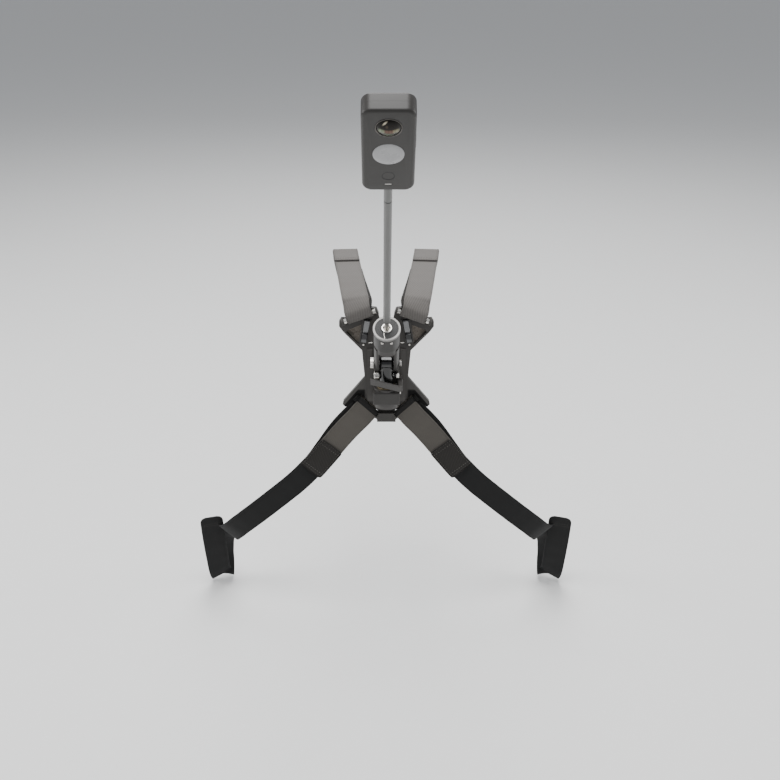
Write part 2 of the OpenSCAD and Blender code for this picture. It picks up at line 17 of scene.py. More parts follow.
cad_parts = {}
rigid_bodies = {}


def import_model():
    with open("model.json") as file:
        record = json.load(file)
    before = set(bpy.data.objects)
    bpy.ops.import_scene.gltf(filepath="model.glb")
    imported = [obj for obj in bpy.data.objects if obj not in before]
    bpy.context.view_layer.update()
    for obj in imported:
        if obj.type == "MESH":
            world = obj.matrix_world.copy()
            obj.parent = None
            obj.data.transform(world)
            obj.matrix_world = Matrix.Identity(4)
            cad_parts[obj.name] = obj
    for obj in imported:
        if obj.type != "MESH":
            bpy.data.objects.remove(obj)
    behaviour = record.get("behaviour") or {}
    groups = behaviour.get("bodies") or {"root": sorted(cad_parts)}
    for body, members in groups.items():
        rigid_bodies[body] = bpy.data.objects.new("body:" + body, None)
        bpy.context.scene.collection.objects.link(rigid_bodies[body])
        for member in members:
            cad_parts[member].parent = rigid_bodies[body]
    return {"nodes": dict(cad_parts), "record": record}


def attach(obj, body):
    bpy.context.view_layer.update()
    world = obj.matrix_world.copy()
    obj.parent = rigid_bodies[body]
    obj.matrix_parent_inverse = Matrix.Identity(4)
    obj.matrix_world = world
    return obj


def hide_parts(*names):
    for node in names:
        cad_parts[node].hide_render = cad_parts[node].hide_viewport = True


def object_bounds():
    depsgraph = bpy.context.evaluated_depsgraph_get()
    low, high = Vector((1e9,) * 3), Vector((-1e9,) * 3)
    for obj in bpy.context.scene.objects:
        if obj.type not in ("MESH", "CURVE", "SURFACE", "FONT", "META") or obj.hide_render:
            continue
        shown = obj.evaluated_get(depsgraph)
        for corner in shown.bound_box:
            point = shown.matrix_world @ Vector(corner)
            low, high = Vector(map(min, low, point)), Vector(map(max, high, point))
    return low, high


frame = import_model()
CAD_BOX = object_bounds()
LOG = logging.getLogger("selfie_stick")
MM = 0.001
LEAN = math.radians(40)          # lean of the stick from the upright
AXLE = Vector((0, -28, 12)) * MM  # tilt axle
CAMERA_AT = 340.6 * MM           # axle to the underside of the camera
BODY_OF = {n: b for b, ns in frame["record"]["behaviour"]["bodies"].items() for n in ns}
STICK = Matrix.Translation(AXLE) @ Matrix.Rotation(LEAN, 4, "X")
Colour = tuple[float, float, float]
# near black used for painted shade
PAINTED_SHADE_BLACK: Colour = (0.004, 0.004, 0.004)


# ---------------------------------------------------------------- shader expressions
class Val:
    """A shader value that can be written in ordinary expressions."""

    def __init__(self, net: "Net", socket: bpy.types.NodeSocket) -> None:
        """Wraps one output socket of a net."""
        self.net = net
        self.socket = socket

    def op(self, kind: str, *others: "Val | float", first: bool = True) -> "Val":
        """Adds a Math node.

        Args:
            kind: the Math node's operation.
            others: its other operands.
            first: whether this value is the first operand.

        Returns:
            The result.
        """
        args = [self, *others] if first else [*others, self]
        return self.net.value("ShaderNodeMath", {"operation": kind}, dict(enumerate(args)))

    def __add__(self, other: "Val | float") -> "Val":
        """Sum."""
        return self.op("ADD", other)

    __radd__ = __add__

    def __sub__(self, other: "Val | float") -> "Val":
        """Difference."""
        return self.op("SUBTRACT", other)

    def __rsub__(self, other: "Val | float") -> "Val":
        """Reflected difference."""
        return self.op("SUBTRACT", other, first=False)

    def __mul__(self, other: "Val | float") -> "Val":
        """Product."""
        return self.op("MULTIPLY", other)

    __rmul__ = __mul__

    def __truediv__(self, other: "Val | float") -> "Val":
        """Quotient."""
        return self.op("DIVIDE", other)

    def __pow__(self, other: "Val | float") -> "Val":
        """Power."""
        return self.op("POWER", other)

    def sin(self) -> "Val":
        """Sine, in radians."""
        return self.op("SINE")

    def size(self) -> "Val":
        """Absolute value."""
        return self.op("ABSOLUTE")

    def over(self, limit: "Val | float") -> "Val":
        """1 where this is above the limit, else 0."""
        return self.op("GREATER_THAN", limit)

    def ramp(self, low: float, high: float) -> "Val":
        """0 at low and 1 at high, clamped and smooth between."""
        out = self.net.node("ShaderNodeMapRange", {"interpolation_type": "SMOOTHSTEP"},
                            {"Value": self, "From Min": low, "From Max": high})
        return Val(self.net, out.outputs[0])


class Net:
    """Builds one material's nodes."""

    def __init__(self, name: str) -> None:
        """Starts a material with a single Principled shader."""
        self.material = bpy.data.materials.new(name)
        self.material.use_nodes = True
        self.tree = self.material.node_tree
        self.shader = next(n for n in self.tree.nodes if n.type == "BSDF_PRINCIPLED")

    def node(self, kind: str, settings: dict | None = None, inputs: dict | None = None) -> bpy.types.Node:
        """Adds a node, sets its settings and then its sockets.

        Args:
            kind: the node's type.
            settings: attribute values.
            inputs: socket name or index to a Val, a socket or a plain value.

        Returns:
            The node.
        """
        made = self.tree.nodes.new(kind)
        for key, setting in (settings or {}).items():
            setattr(made, key, setting)
        for key, given in (inputs or {}).items():
            self.feed(made.inputs[key], given)
        return made

    def feed(self, socket: bpy.types.NodeSocket, given: object) -> None:
        """Links or sets one socket."""
        if isinstance(given, Val):
            self.tree.links.new(given.socket, socket)
        elif isinstance(given, bpy.types.NodeSocket):
            self.tree.links.new(given, socket)
        elif isinstance(given, tuple) and len(given) == 3 and socket.type == "RGBA":
            socket.default_value = (*given, 1)
        else:
            socket.default_value = given

    def value(self, kind: str, settings: dict | None = None, inputs: dict | None = None) -> Val:
        """The first output of a new node."""
        return Val(self, self.node(kind, settings, inputs).outputs[0])

    def place(self, stretch: Sequence[float] = (1, 1, 1)) -> bpy.types.NodeSocket:
        """Object coordinates in metres, stretched by a factor on each axis."""
        where = self.node("ShaderNodeTexCoord")
        out = self.node("ShaderNodeMapping", {}, {"Vector": where.outputs["Object"], "Scale": tuple(stretch)})
        return out.outputs[0]

    def cloth(self) -> tuple[Val, Val]:
        """The piece's own map in metres: across the webbing and along it."""
        where = self.node("ShaderNodeUVMap", {"uv_map": "cloth"})
        parts = self.node("ShaderNodeSeparateXYZ", {}, {0: where.outputs[0]})
        return Val(self, parts.outputs[0]), Val(self, parts.outputs[1])

    def along(self, vector: bpy.types.NodeSocket) -> tuple[Val, Val, Val]:
        """The three parts of a vector."""
        parts = self.node("ShaderNodeSeparateXYZ", {}, {0: vector})
        return tuple(Val(self, out) for out in parts.outputs)

    def noise(self, scale: float, detail: float = 3, stretch: Sequence[float] = (1, 1, 1)) -> Val:
        """Noise from 0 to 1, with scale in repeats to the metre."""
        return self.value("ShaderNodeTexNoise", {}, {"Vector": self.place(stretch), "Scale": scale,
                                                     "Detail": detail, "Roughness": 0.55})

    def grain(self, scale: float) -> Val:
        """Distance to the nearest cell of a fine grain."""
        return self.value("ShaderNodeTexVoronoi", {}, {"Vector": self.place(), "Scale": scale})

    def blend(self, share: Val, low: object, high: object) -> bpy.types.NodeSocket:
        """A colour between two others."""
        out = self.node("ShaderNodeMix", {"data_type": "RGBA"}, {0: share, 6: low, 7: high})
        return out.outputs[2]

    def relief(self, height: Val, depth: float, strength: float = 1.0) -> bpy.types.NodeSocket:
        """A bump of the given depth in metres."""
        return self.node("ShaderNodeBump", {}, {"Height": height, "Distance": depth, "Strength": strength}).outputs[0]

    def dress(self, **sockets: object) -> bpy.types.Material:
        """Feeds the shader's sockets, named with underscores for spaces, and returns the material."""
        for key, given in sockets.items():
            self.feed(self.shader.inputs[key.replace("_", " ")], given)
        return self.material


# ---------------------------------------------------------------- finishes
@dataclass(frozen=True)
class Finish:
    """A named surface finish; material() is built once and shared."""

    name: str
    tone: Colour

    @property
    def label(self) -> str:
        """The material's own name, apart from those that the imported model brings."""
        return f"{self.name}_finish"

    def material(self) -> bpy.types.Material:
        """The finish's material, made on first use."""
        return bpy.data.materials.get(self.label) or self.build()

    def build(self) -> bpy.types.Material:
        """Overridden by each kind of finish."""
        raise NotImplementedError

    def shade(self, factor: float) -> Colour:
        """The tone made lighter or darker."""
        return tuple(min(1.0, c * factor) for c in self.tone)


@dataclass(frozen=True)
class Moulded(Finish):
    """Moulded plastic with a spark-eroded grain and handling marks."""

    rough: float = 0.5
    grain_depth: float = 0.00005
    mottle: float = 0.16
    gleam: float = 0.38

    def painted_shade(self, net: Net) -> Val | float:
        """Share of painted shade; plain mouldings have none."""
        return 0.0

    def build(self) -> bpy.types.Material:
        """Fine grain, slight cloudiness and scuffs that catch the light."""
        net = Net(self.label)
        cloud = net.noise(38, 4)
        scuff = net.noise(160, 6, (1, 1, 0.25)).ramp(0.62, 0.8)
        grain = net.noise(2600, 2)
        tone = net.blend(cloud, self.shade(1 - self.mottle), self.shade(1 + self.mottle))
        tone = net.blend(scuff * 0.35, tone, self.shade(1.7))
        rough = self.rough + (cloud - 0.5) * 0.22 + scuff * 0.12 - grain * 0.05
        painted_shade = self.painted_shade(net)
        if isinstance(painted_shade, Val):
            # painted shade: near black, and rougher, where the plate's lower ears lie in deep shadow
            tone = net.blend(painted_shade * 0.94, tone, PAINTED_SHADE_BLACK)
            rough = rough + painted_shade * 0.35
        return net.dress(Base_Color=tone, Roughness=rough, Normal=net.relief(grain, self.grain_depth),
                         Specular_IOR_Level=self.gleam)


@dataclass(frozen=True)
class FramePlate(Moulded):
    """The back plate: moulded plastic with near-black painted shade inside its lower ears."""

    def painted_shade(self, net: Net) -> Val:
        """1 inside a rail's width from the outer edge of a lower ear."""
        # painted shade: masks the inner area of each lower ear, which lies in deep shadow
        x, _, z = net.along(net.place())
        x = x.size()
        inside = (x - 0.0254) * 0.772 + (z + 0.014) * 0.635
        return inside.ramp(-0.0034, -0.0042) * z.ramp(-0.0280, -0.0310) * x.ramp(0.0240, 0.0262)


@dataclass(frozen=True)
class Polished(Finish):
    """Glossy plastic with faint swirls and dust."""

    rough: float = 0.16

    def build(self) -> bpy.types.Material:
        """Clear gloss over a nearly even colour."""
        net = Net(self.label)
        cloud = net.noise(70, 4)
        dust = net.noise(1900, 2).ramp(0.68, 0.8)
        tone = net.blend(cloud, self.shade(0.85), self.shade(1.15))
        tone = net.blend(dust * 0.25, tone, self.shade(2.2))
        return net.dress(Base_Color=tone, Roughness=self.rough + cloud * 0.1 + dust * 0.2, Coat_Weight=0.35,
                         Coat_Roughness=0.08, Normal=net.relief(net.noise(500, 2), 0.00002))


@dataclass(frozen=True)
class Latch(Finish):
    """Release button: pale towards its top end as a painted highlight, with a band of painted shade across the middle.
    """

    rough: float = 0.3

    def build(self) -> bpy.types.Material:
        """Painted shade in a dark band across the button, and a pale painted highlight above it."""
        net = Net(self.label)
        _, _, z = net.along(net.place())
        cloud = net.noise(300, 4)
        # painted shade: a near-black band across the middle of the button
        painted_shade_band = (z - 0.0385).size().ramp(0.0042, 0.0022)
        tone = net.blend(cloud, self.shade(0.8), self.shade(1.3))
        # painted highlight: lighter above z = 0.044, where the top faces catch the overhead light
        tone = net.blend(z.ramp(0.040, 0.044), tone, self.shade(1.5))
        tone = net.blend(painted_shade_band * 0.85, tone, (0.012, 0.012, 0.013))
        return net.dress(Base_Color=tone, Roughness=self.rough + cloud * 0.12, Specular_IOR_Level=0.4,
                         Normal=net.relief(net.noise(900, 2), 0.00003))


@dataclass(frozen=True)
class Satin(Finish):
    """Fine-grained satin plastic that catches light on its edges and upper faces."""

    def build(self) -> bpy.types.Material:
        """An even tone, a very fine grain and a soft gleam."""
        net = Net(self.label)
        cloud = net.noise(45, 4)
        grain = net.noise(3200, 2)
        tone = net.blend(cloud, self.shade(0.94), self.shade(1.06))
        tone = net.blend(grain.ramp(0.35, 0.75) * 0.3, tone, self.shade(1.35))
        return net.dress(Base_Color=tone, Roughness=0.4 + cloud * 0.08, Specular_IOR_Level=0.36,
                         Normal=net.relief(grain, 0.000012))


@dataclass(frozen=True)
class Steel(Finish):
    """Turned or ground metal."""

    rough: float = 0.26
    lines: Sequence[float] = (1, 1, 12)

    def build(self) -> bpy.types.Material:
        """Fine machining lines, light stains and bright worn spots."""
        net = Net(self.label)
        lines = net.noise(420, 3, self.lines)
        stain = net.noise(120, 5)
        tone = net.blend(stain, self.shade(0.8), self.shade(1.12))
        return net.dress(Base_Color=tone, Metallic=1.0, Roughness=self.rough + (lines - 0.5) * 0.22 + stain * 0.08,
                         Normal=net.relief(lines, 0.00002))


@dataclass(frozen=True)
class Tube(Finish):
    """Satin gunmetal tube, brushed along its length."""

    def build(self) -> bpy.types.Material:
        """Long streaks along the stick, with small rubs from sliding."""
        net = Net(self.label)
        turned = net.node("ShaderNodeMapping", {"vector_type": "POINT"}, {
            "Vector": net.node("ShaderNodeTexCoord").outputs["Object"], "Rotation": (-LEAN, 0, 0)})
        flat = net.node("ShaderNodeMapping", {}, {"Vector": turned.outputs[0], "Scale": (1, 1, 0.012)})
        streaks = net.value("ShaderNodeTexNoise", {}, {"Vector": flat.outputs[0], "Scale": 2200, "Detail": 2})
        cloud = net.noise(30, 4)
        tone = net.blend(streaks * 0.5 + cloud * 0.5, self.shade(0.78), self.shade(1.22))
        return net.dress(Base_Color=tone, Metallic=0.82, Roughness=0.3 + streaks * 0.1 + cloud * 0.06,
                         Normal=net.relief(streaks, 0.00002))


@dataclass(frozen=True)
class Grained(Finish):
    """Bead-blasted cap face with light and dark speckle."""

    def build(self) -> bpy.types.Material:
        """Coarse speckle at about a third of a millimetre."""
        net = Net(self.label)
        speck = net.noise(2300, 2)
        coarse = net.noise(900, 2)
        tone = net.blend(speck.ramp(0.3, 0.7), self.shade(0.45), self.shade(1.55))
        tone = net.blend(coarse.ramp(0.35, 0.7) * 0.5, tone, self.shade(1.1))
        return net.dress(Base_Color=tone, Roughness=0.62 + speck * 0.2, Specular_IOR_Level=0.25,
                         Normal=net.relief(speck, 0.00012))


class Weave(Enum):
    """Kinds of webbing."""

    TWILL = "twill"
    ELASTIC = "elastic"
    NAPPED = "napped"


@dataclass(frozen=True)
class Webbing(Finish):
    """Woven band, mapped across and along itself."""

    weave: Weave = Weave.TWILL
    width: float = 0.03

    def build(self) -> bpy.types.Material:
        """Yarns, selvedges, cloudy wear and a soft sheen."""
        net = Net(self.label)
        across, along = net.cloth()
        cloud = net.noise(45, 4)
        fuzz = net.noise(1500, 3)
        edge = across.size().ramp(self.width / 2 - 0.0030, self.width / 2 - 0.0022)
        turn = 2 * math.pi
        if self.weave is Weave.NAPPED:
            height = net.noise(2600, 3) * 0.8 + net.noise(900, 2) * 0.4
            depth = 0.0003
        else:
            if self.weave is Weave.TWILL:
                ribs, picks = across / 0.0021 + along / 0.0043, along / 0.0008
            else:
                ribs, picks = along / 0.0014, across / 0.0012
            height = ((ribs * turn).sin() * 0.5 + 0.5) * 0.7 + ((picks * turn).sin() * 0.5 + 0.5) * 0.3
            depth = 0.00022
        height = height + fuzz * 0.35 + edge * (((along / 0.0012) * turn).sin() * 0.4 + 0.3)
        tone = net.blend(height.ramp(0.1, 1.15), self.shade(0.66), self.shade(1.2))
        tone = net.blend(cloud * 0.45, tone, self.shade(0.82))
        tone = net.blend(edge * 0.4, tone, self.shade(0.62))
        net.shader.inputs["Sheen Weight"].default_value = 0.06
        net.shader.inputs["Sheen Roughness"].default_value = 0.45
        return net.dress(Base_Color=tone, Roughness=0.82 + fuzz * 0.12, Specular_IOR_Level=0.25,
                         Normal=net.relief(height, depth))


@dataclass(frozen=True)
class Foam(Finish):
    """Brown-grey spacer fabric over foam."""

    def build(self) -> bpy.types.Material:
        """Small open cells and a soft, uneven colour."""
        net = Net(self.label)
        cells = net.grain(420)
        fuzz = net.noise(1700, 3)
        cloud = net.noise(40, 4)
        tone = net.blend(cells.ramp(0.15, 0.6), self.shade(0.7), self.shade(1.15))
        tone = net.blend(cloud * 0.4, tone, self.shade(0.8))
        net.shader.inputs["Sheen Weight"].default_value = 0.15
        return net.dress(Base_Color=tone, Roughness=0.9 + fuzz * 0.08, Normal=net.relief(cells + fuzz * 0.5, 0.00035))


@dataclass(frozen=True)
class CoatedGlass(Finish):
    """Dark multicoated lens: near-black glass with painted reflections in the tints of its coatings."""

    centre: Vector = field(default_factory=Vector)
    side: float = 1.0
    green: Colour = (0.22, 0.255, 0.165)
    rose: Colour = (0.15, 0.078, 0.05)
    straw: Colour = (0.26, 0.235, 0.14)
    moss: Colour = (0.045, 0.07, 0.02)
    cream: Colour = (0.80, 0.72, 0.54)

    def build(self) -> bpy.types.Material:
        """Painted reflections: tinted crescents low on the dome, a pale painted highlight streak above them, a painted
        base lighter low and darker high, and a dark rim.
        """
        net = Net(self.label)
        where = net.node("ShaderNodeTexCoord").outputs["Object"]
        moved = net.node("ShaderNodeVectorMath", {"operation": "SUBTRACT"}, {0: where, 1: tuple(self.centre)})
        turned = net.node("ShaderNodeMapping", {"vector_type": "POINT"}, {
            "Vector": moved.outputs[0], "Rotation": (-LEAN, 0, 0)})
        x, y, z = net.along(turned.outputs[0])
        x, y = x * self.side, y * self.side
        rise = z * 0.636 + y * 0.772
        haze = net.noise(260, 3)
        # painted reflections: crescent tints, green on the left, rose in the middle, straw on the right
        hue = net.blend(x.ramp(-0.0052, -0.0022), self.green, self.rose)
        hue = net.blend(x.ramp(0.0026, 0.0050), hue, self.straw)
        curve = rise + 0.0034 - x * x * 26
        gaps = (x * 1150 + 0.2).sin().size() * 0.35 + 0.65
        crescent = curve.size().ramp(0.0019, 0.0005) * x.size().ramp(0.0092, 0.0078) * gaps
        # painted reflection: the base is lighter low on the dome and darker high
        tone = net.blend(rise.ramp(-0.006, 0.006), self.shade(1.3), self.shade(0.6))
        tone = net.blend(crescent * (haze * 0.3 + 0.72), tone, hue)
        # painted reflection: a moss-green strip under the crescents
        foot = (curve + 0.0021).size().ramp(0.0012, 0.0002) * x.size().ramp(0.0045, 0.0020)
        tone = net.blend(foot * 0.5, tone, self.moss)
        # painted highlight: a pale cream streak high on the left
        glint = (((x + 0.0032) * 0.80 + (rise - 0.0036) * 0.60) ** 2 * 0.16
                 + ((rise - 0.0036) * 0.80 - (x + 0.0032) * 0.60) ** 2 * 1.4) ** 0.5
        tone = net.blend(glint.ramp(0.0014, 0.0001), tone, self.cream)
        # painted highlight: a faint pale spot near the middle
        inner = ((x + 0.0016) ** 2 + (rise - 0.0006) ** 2) ** 0.5
        tone = net.blend(inner.ramp(0.0017, 0.0006) * 0.5, tone, self.shade(9))
        net.shader.inputs["Specular IOR Level"].default_value = 0.18
        net.shader.inputs["Coat Roughness"].default_value = 0.03
        net.shader.inputs["Coat IOR"].default_value = 1.2
        return net.dress(Base_Color=tone, Roughness=0.1 + haze * 0.05, Coat_Weight=0.25)


@dataclass(frozen=True)
class CoverGlass(Finish):
    """Round cover over a display that is off, painted pale grey for the light it reflects."""

    def build(self) -> bpy.types.Material:
        """Nearly even pale grey, a painted reflection, under a clear coat, with faint smears."""
        net = Net(self.label)
        smear = net.noise(120, 4, (1, 1, 0.4))
        tone = net.blend(smear, self.shade(0.93), self.shade(1.06))
        net.shader.inputs["Coat Roughness"].default_value = 0.03
        return net.dress(Base_Color=tone, Roughness=0.22 + smear * 0.12, Coat_Weight=0.4)


@dataclass(frozen=True)
class Board(Finish):
    """Green circuit board with traces and pads."""

    def build(self) -> bpy.types.Material:
        """Traces as thin cells, pads as bright dots."""
        net = Net(self.label)
        traces = net.value("ShaderNodeTexBrick", {"offset": 0.5}, {
            "Vector": net.place(), "Scale": 260.0, "Mortar Size": 0.03})
        dots = net.grain(600).ramp(0.12, 0.08)
        tone = net.blend(traces, self.shade(0.7), self.shade(1.6))
        tone = net.blend(dots, tone, (0.55, 0.5, 0.3))
        return net.dress(Base_Color=tone, Roughness=0.35 + dots * 0.1, Normal=net.relief(dots, 0.00008))


NYLON = Moulded("moulded_nylon", (0.062, 0.058, 0.055), rough=0.36)
PLATE = FramePlate("frame_plate", (0.068, 0.0645, 0.061), rough=0.42, gleam=0.12)
NYLON_LIGHT = Moulded("moulded_nylon_light", (0.056, 0.0535, 0.051), rough=0.48, gleam=0.2)
LEVER_GREY = Moulded("lever_plastic", (0.085, 0.081, 0.077), rough=0.4)
CAMERA_GREY = Satin("camera_shell", (0.028, 0.026, 0.0242))
CAMERA_KEY = Satin("camera_button", (0.029, 0.027, 0.0252))
RUBBER = Moulded("black_rubber", (0.014, 0.014, 0.014), rough=0.7)
SEAM_BLACK = Moulded("seam_gasket", (0.010, 0.010, 0.010), rough=0.6)
GLOSS_BLACK = Polished("gloss_black", (0.008, 0.008, 0.008), rough=0.12)
BLUE_GREY = Latch("blue_grey_plastic", (0.125, 0.126, 0.127), rough=0.3)
BRIGHT = Steel("bright_steel", (0.74, 0.72, 0.68))
DARK_STEEL = Steel("dark_steel", (0.07, 0.07, 0.07), rough=0.35)
BRASS = Steel("bronze_washer", (0.24, 0.195, 0.125), rough=0.36)
RING = Steel("lens_ring", (0.13, 0.122, 0.115), rough=0.3)
GRILLE = Steel("grille_metal", (0.5, 0.49, 0.47), rough=0.4)
GUNMETAL = Tube("gunmetal_tube", (0.138, 0.138, 0.135))
CAP_FACE = Grained("speckled_cap", (0.062, 0.062, 0.061))
RIM = Steel("cap_rim_steel", (0.24, 0.235, 0.228), rough=0.46)
SLEEVE = Moulded("sleeve_nylon", (0.036, 0.0345, 0.033), rough=0.5, gleam=0.25)
UPPER_WEB = Webbing("grey_webbing", (0.138, 0.129, 0.121), Weave.TWILL, 0.0305)
# darker copy of the grey webbing: painted shade for the return run that lies behind the main one
UPPER_WEB_SHADED = Webbing("grey_webbing_shaded", (0.034, 0.032, 0.030), Weave.TWILL, 0.0305)
LOWER_WEB = Webbing("elastic_webbing", (0.092, 0.084, 0.074), Weave.ELASTIC, 0.030)
# darker copy of the elastic webbing: painted shade for the run behind and its turn round the pin
LOWER_WEB_SHADED = Webbing("elastic_webbing_shaded", (0.014, 0.0135, 0.013), Weave.ELASTIC, 0.030)
TAB_WEB = Webbing("tab_webbing", (0.027, 0.025, 0.023), Weave.TWILL, 0.0306)
HOOK_WEB = Webbing("hook_and_loop", (0.012, 0.012, 0.012), Weave.NAPPED, 0.029)
PALE_THREAD = Moulded("pale_thread", (0.24, 0.225, 0.21), rough=0.8)
TAB_THREAD = Moulded("tab_thread", (0.13, 0.122, 0.112), rough=0.8)
DARK_THREAD = Moulded("dark_thread", (0.05, 0.046, 0.042), rough=0.8)
FOAM = Foam("foam_pad", (0.235, 0.205, 0.175))
SCREEN = CoverGlass("screen_cover", (0.31, 0.31, 0.315))
BOARD = Board("circuit_board", (0.02, 0.10, 0.045))


# ---------------------------------------------------------------- making and placing pieces
def mesh_piece(name: str, verts: Iterable[Vector], faces: Iterable[Sequence[int]]) -> bpy.types.Object:
    """Makes a linked mesh object.

    Args:
        name: the piece's name.
        verts: its corners, in metres.
        faces: corner indices, turning outwards.

    Returns:
        The object.
    """
    mesh = bpy.data.meshes.new(name)
    mesh.from_pydata([tuple(v) for v in verts], [], [tuple(f) for f in faces])
    mesh.validate()
    piece = bpy.data.objects.new(name, mesh)
    bpy.context.scene.collection.objects.link(piece)
    return piece


def smooth(piece: bpy.types.Object, angle: float = 32) -> None:
    """Shades a piece smooth, with its edges sharp past an angle in degrees."""
    mesh = piece.data
    mesh.polygons.foreach_set("use_smooth", [True] * len(mesh.polygons))
    mesh.set_sharp_from_angle(angle=math.radians(angle))
    mesh.update()


def recalc(piece: bpy.types.Object) -> None:
    """Points every face outwards."""
    work = bmesh.new()
    work.from_mesh(piece.data)
    bmesh.ops.recalc_face_normals(work, faces=work.faces)
    work.to_mesh(piece.data)
    work.free()


def paint(piece: bpy.types.Object, finish: Finish) -> None:
    """Gives a piece one finish."""
    piece.data.materials.clear()
    piece.data.materials.append(finish.material())


def hand_in(piece: bpy.types.Object, finish: Finish, like: str, stands_for: Sequence[str] = ()) -> bpy.types.Object:
    """Paints a piece and registers it.

    Args:
        piece: the finished piece.
        finish: its finish.
        like: the CAD node whose body it shares.
        stands_for: the CAD nodes that it replaces.

    Returns:
        The piece.
    """
    paint(piece, finish)
    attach(piece, BODY_OF[like])
    if stands_for:
        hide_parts(*stands_for)
    LOG.info("%-24s %6d faces, rides %s", piece.name, len(piece.data.polygons), BODY_OF[like])
    return piece


def soften(piece: bpy.types.Object, width: float, steps: int = 2, angle: float = 34) -> None:
    """Rounds a piece's hard edges with a bevel of the given width in metres."""
    bevel = piece.modifiers.new("edge", "BEVEL")
    bevel.width = width
    bevel.segments = steps
    bevel.limit_method = "ANGLE"
    bevel.angle_limit = math.radians(angle)
    bevel.harden_normals = False
    bevel.use_clamp_overlap = True


def cad_copy(node: str, name: str, flatten: bool = False) -> bpy.types.Object:
    """Copies a CAD node's mesh into a new linked piece.

    Args:
        node: the CAD node.
        name: the piece's name.
        flatten: whether flat areas become single faces.

    Returns:
        The piece, with its double corners welded.
    """
    work = bmesh.new()
    work.from_mesh(frame["nodes"][node].data)
    bmesh.ops.remove_doubles(work, verts=work.verts, dist=2e-6)
    if flatten:
        bmesh.ops.dissolve_limit(work, angle_limit=math.radians(0.6), verts=work.verts, edges=work.edges)
    mesh = bpy.data.meshes.new(name)
    work.to_mesh(mesh)
    work.free()
    piece = bpy.data.objects.new(name, mesh)
    bpy.context.scene.collection.objects.link(piece)
    return piece


def machined(node: str, finish: Finish, edge: float = 0.0004, steps: int = 2, flat: bool = True) -> bpy.types.Object:
    """Makes a finished part from a CAD node: clean faces, rounded edges, smooth curves.

    Args:
        node: the CAD node that it replaces.
        finish: its finish.
        edge: width of the rounded edges, in metres.
        steps: segments of the rounding.
        flat: whether its large faces keep an even shade up to their rounded edges.

    Returns:
        The piece.
    """
    piece = cad_copy(node, node + "_finished", flatten=True)
    smooth(piece)
    if edge:
        soften(piece, edge, steps)
    if flat:
        even = piece.modifiers.new("even", "WEIGHTED_NORMAL")
        even.keep_sharp = True
    return hand_in(piece, finish, node, [node])


def keep(node: str, finish: Finish) -> None:
    """Keeps a CAD node's own shape and gives it a finish."""
    paint(frame["nodes"][node], finish)


def merge(name: str, pieces: Sequence[bpy.types.Object]) -> bpy.types.Object:
    """Joins pieces that lie at the origin into one."""
    work = bmesh.new()
    for piece in pieces:
        work.from_mesh(piece.data)
        bpy.data.objects.remove(piece)
    mesh = bpy.data.meshes.new(name)
    work.to_mesh(mesh)
    work.free()
    joined = bpy.data.objects.new(name, mesh)
    bpy.context.scene.collection.objects.link(joined)
    smooth(joined, 40)
    return joined


def plain_mesh(piece: bpy.types.Object) -> None:
    """Turns the result of a piece's modifiers into its own plain mesh."""
    graph = bpy.context.evaluated_depsgraph_get()
    mesh = bpy.data.meshes.new_from_object(piece.evaluated_get(graph), depsgraph=graph)
    piece.modifiers.clear()
    piece.data = mesh


def lathe(name: str, outline: Sequence[tuple[float, float]], place: Matrix, around: int = 96) -> bpy.types.Object:
    """Turns an outline about the local Z axis.

    Args:
        name: the piece's name.
        outline: radius and height pairs in metres, from the axis at the bottom to the axis at the top.
        place: where the turned piece goes.
        around: number of sides.

    Returns:
        The object.
    """
    verts, faces, rings = [], [], []
    for radius, height in outline:
        count = 1 if radius < 1e-9 else around
        rings.append((len(verts), count))
        for k in range(count):
            turn = 2 * math.pi * k / around
            verts.append(place @ Vector((radius * math.cos(turn), radius * math.sin(turn), height)))
    for (start, count), (above, over) in zip(rings, rings[1:]):
        for k in range(around):
            a, b = start + k % count, start + (k + 1) % count
            c, d = above + (k + 1) % over, above + k % over
            face = [i for n, i in enumerate((a, b, c, d)) if i not in (a, b, c, d)[:n]]
            if len(face) > 2:
                faces.append(face)
    piece = mesh_piece(name, verts, faces)
    recalc(piece)
    smooth(piece, 40)
    return piece


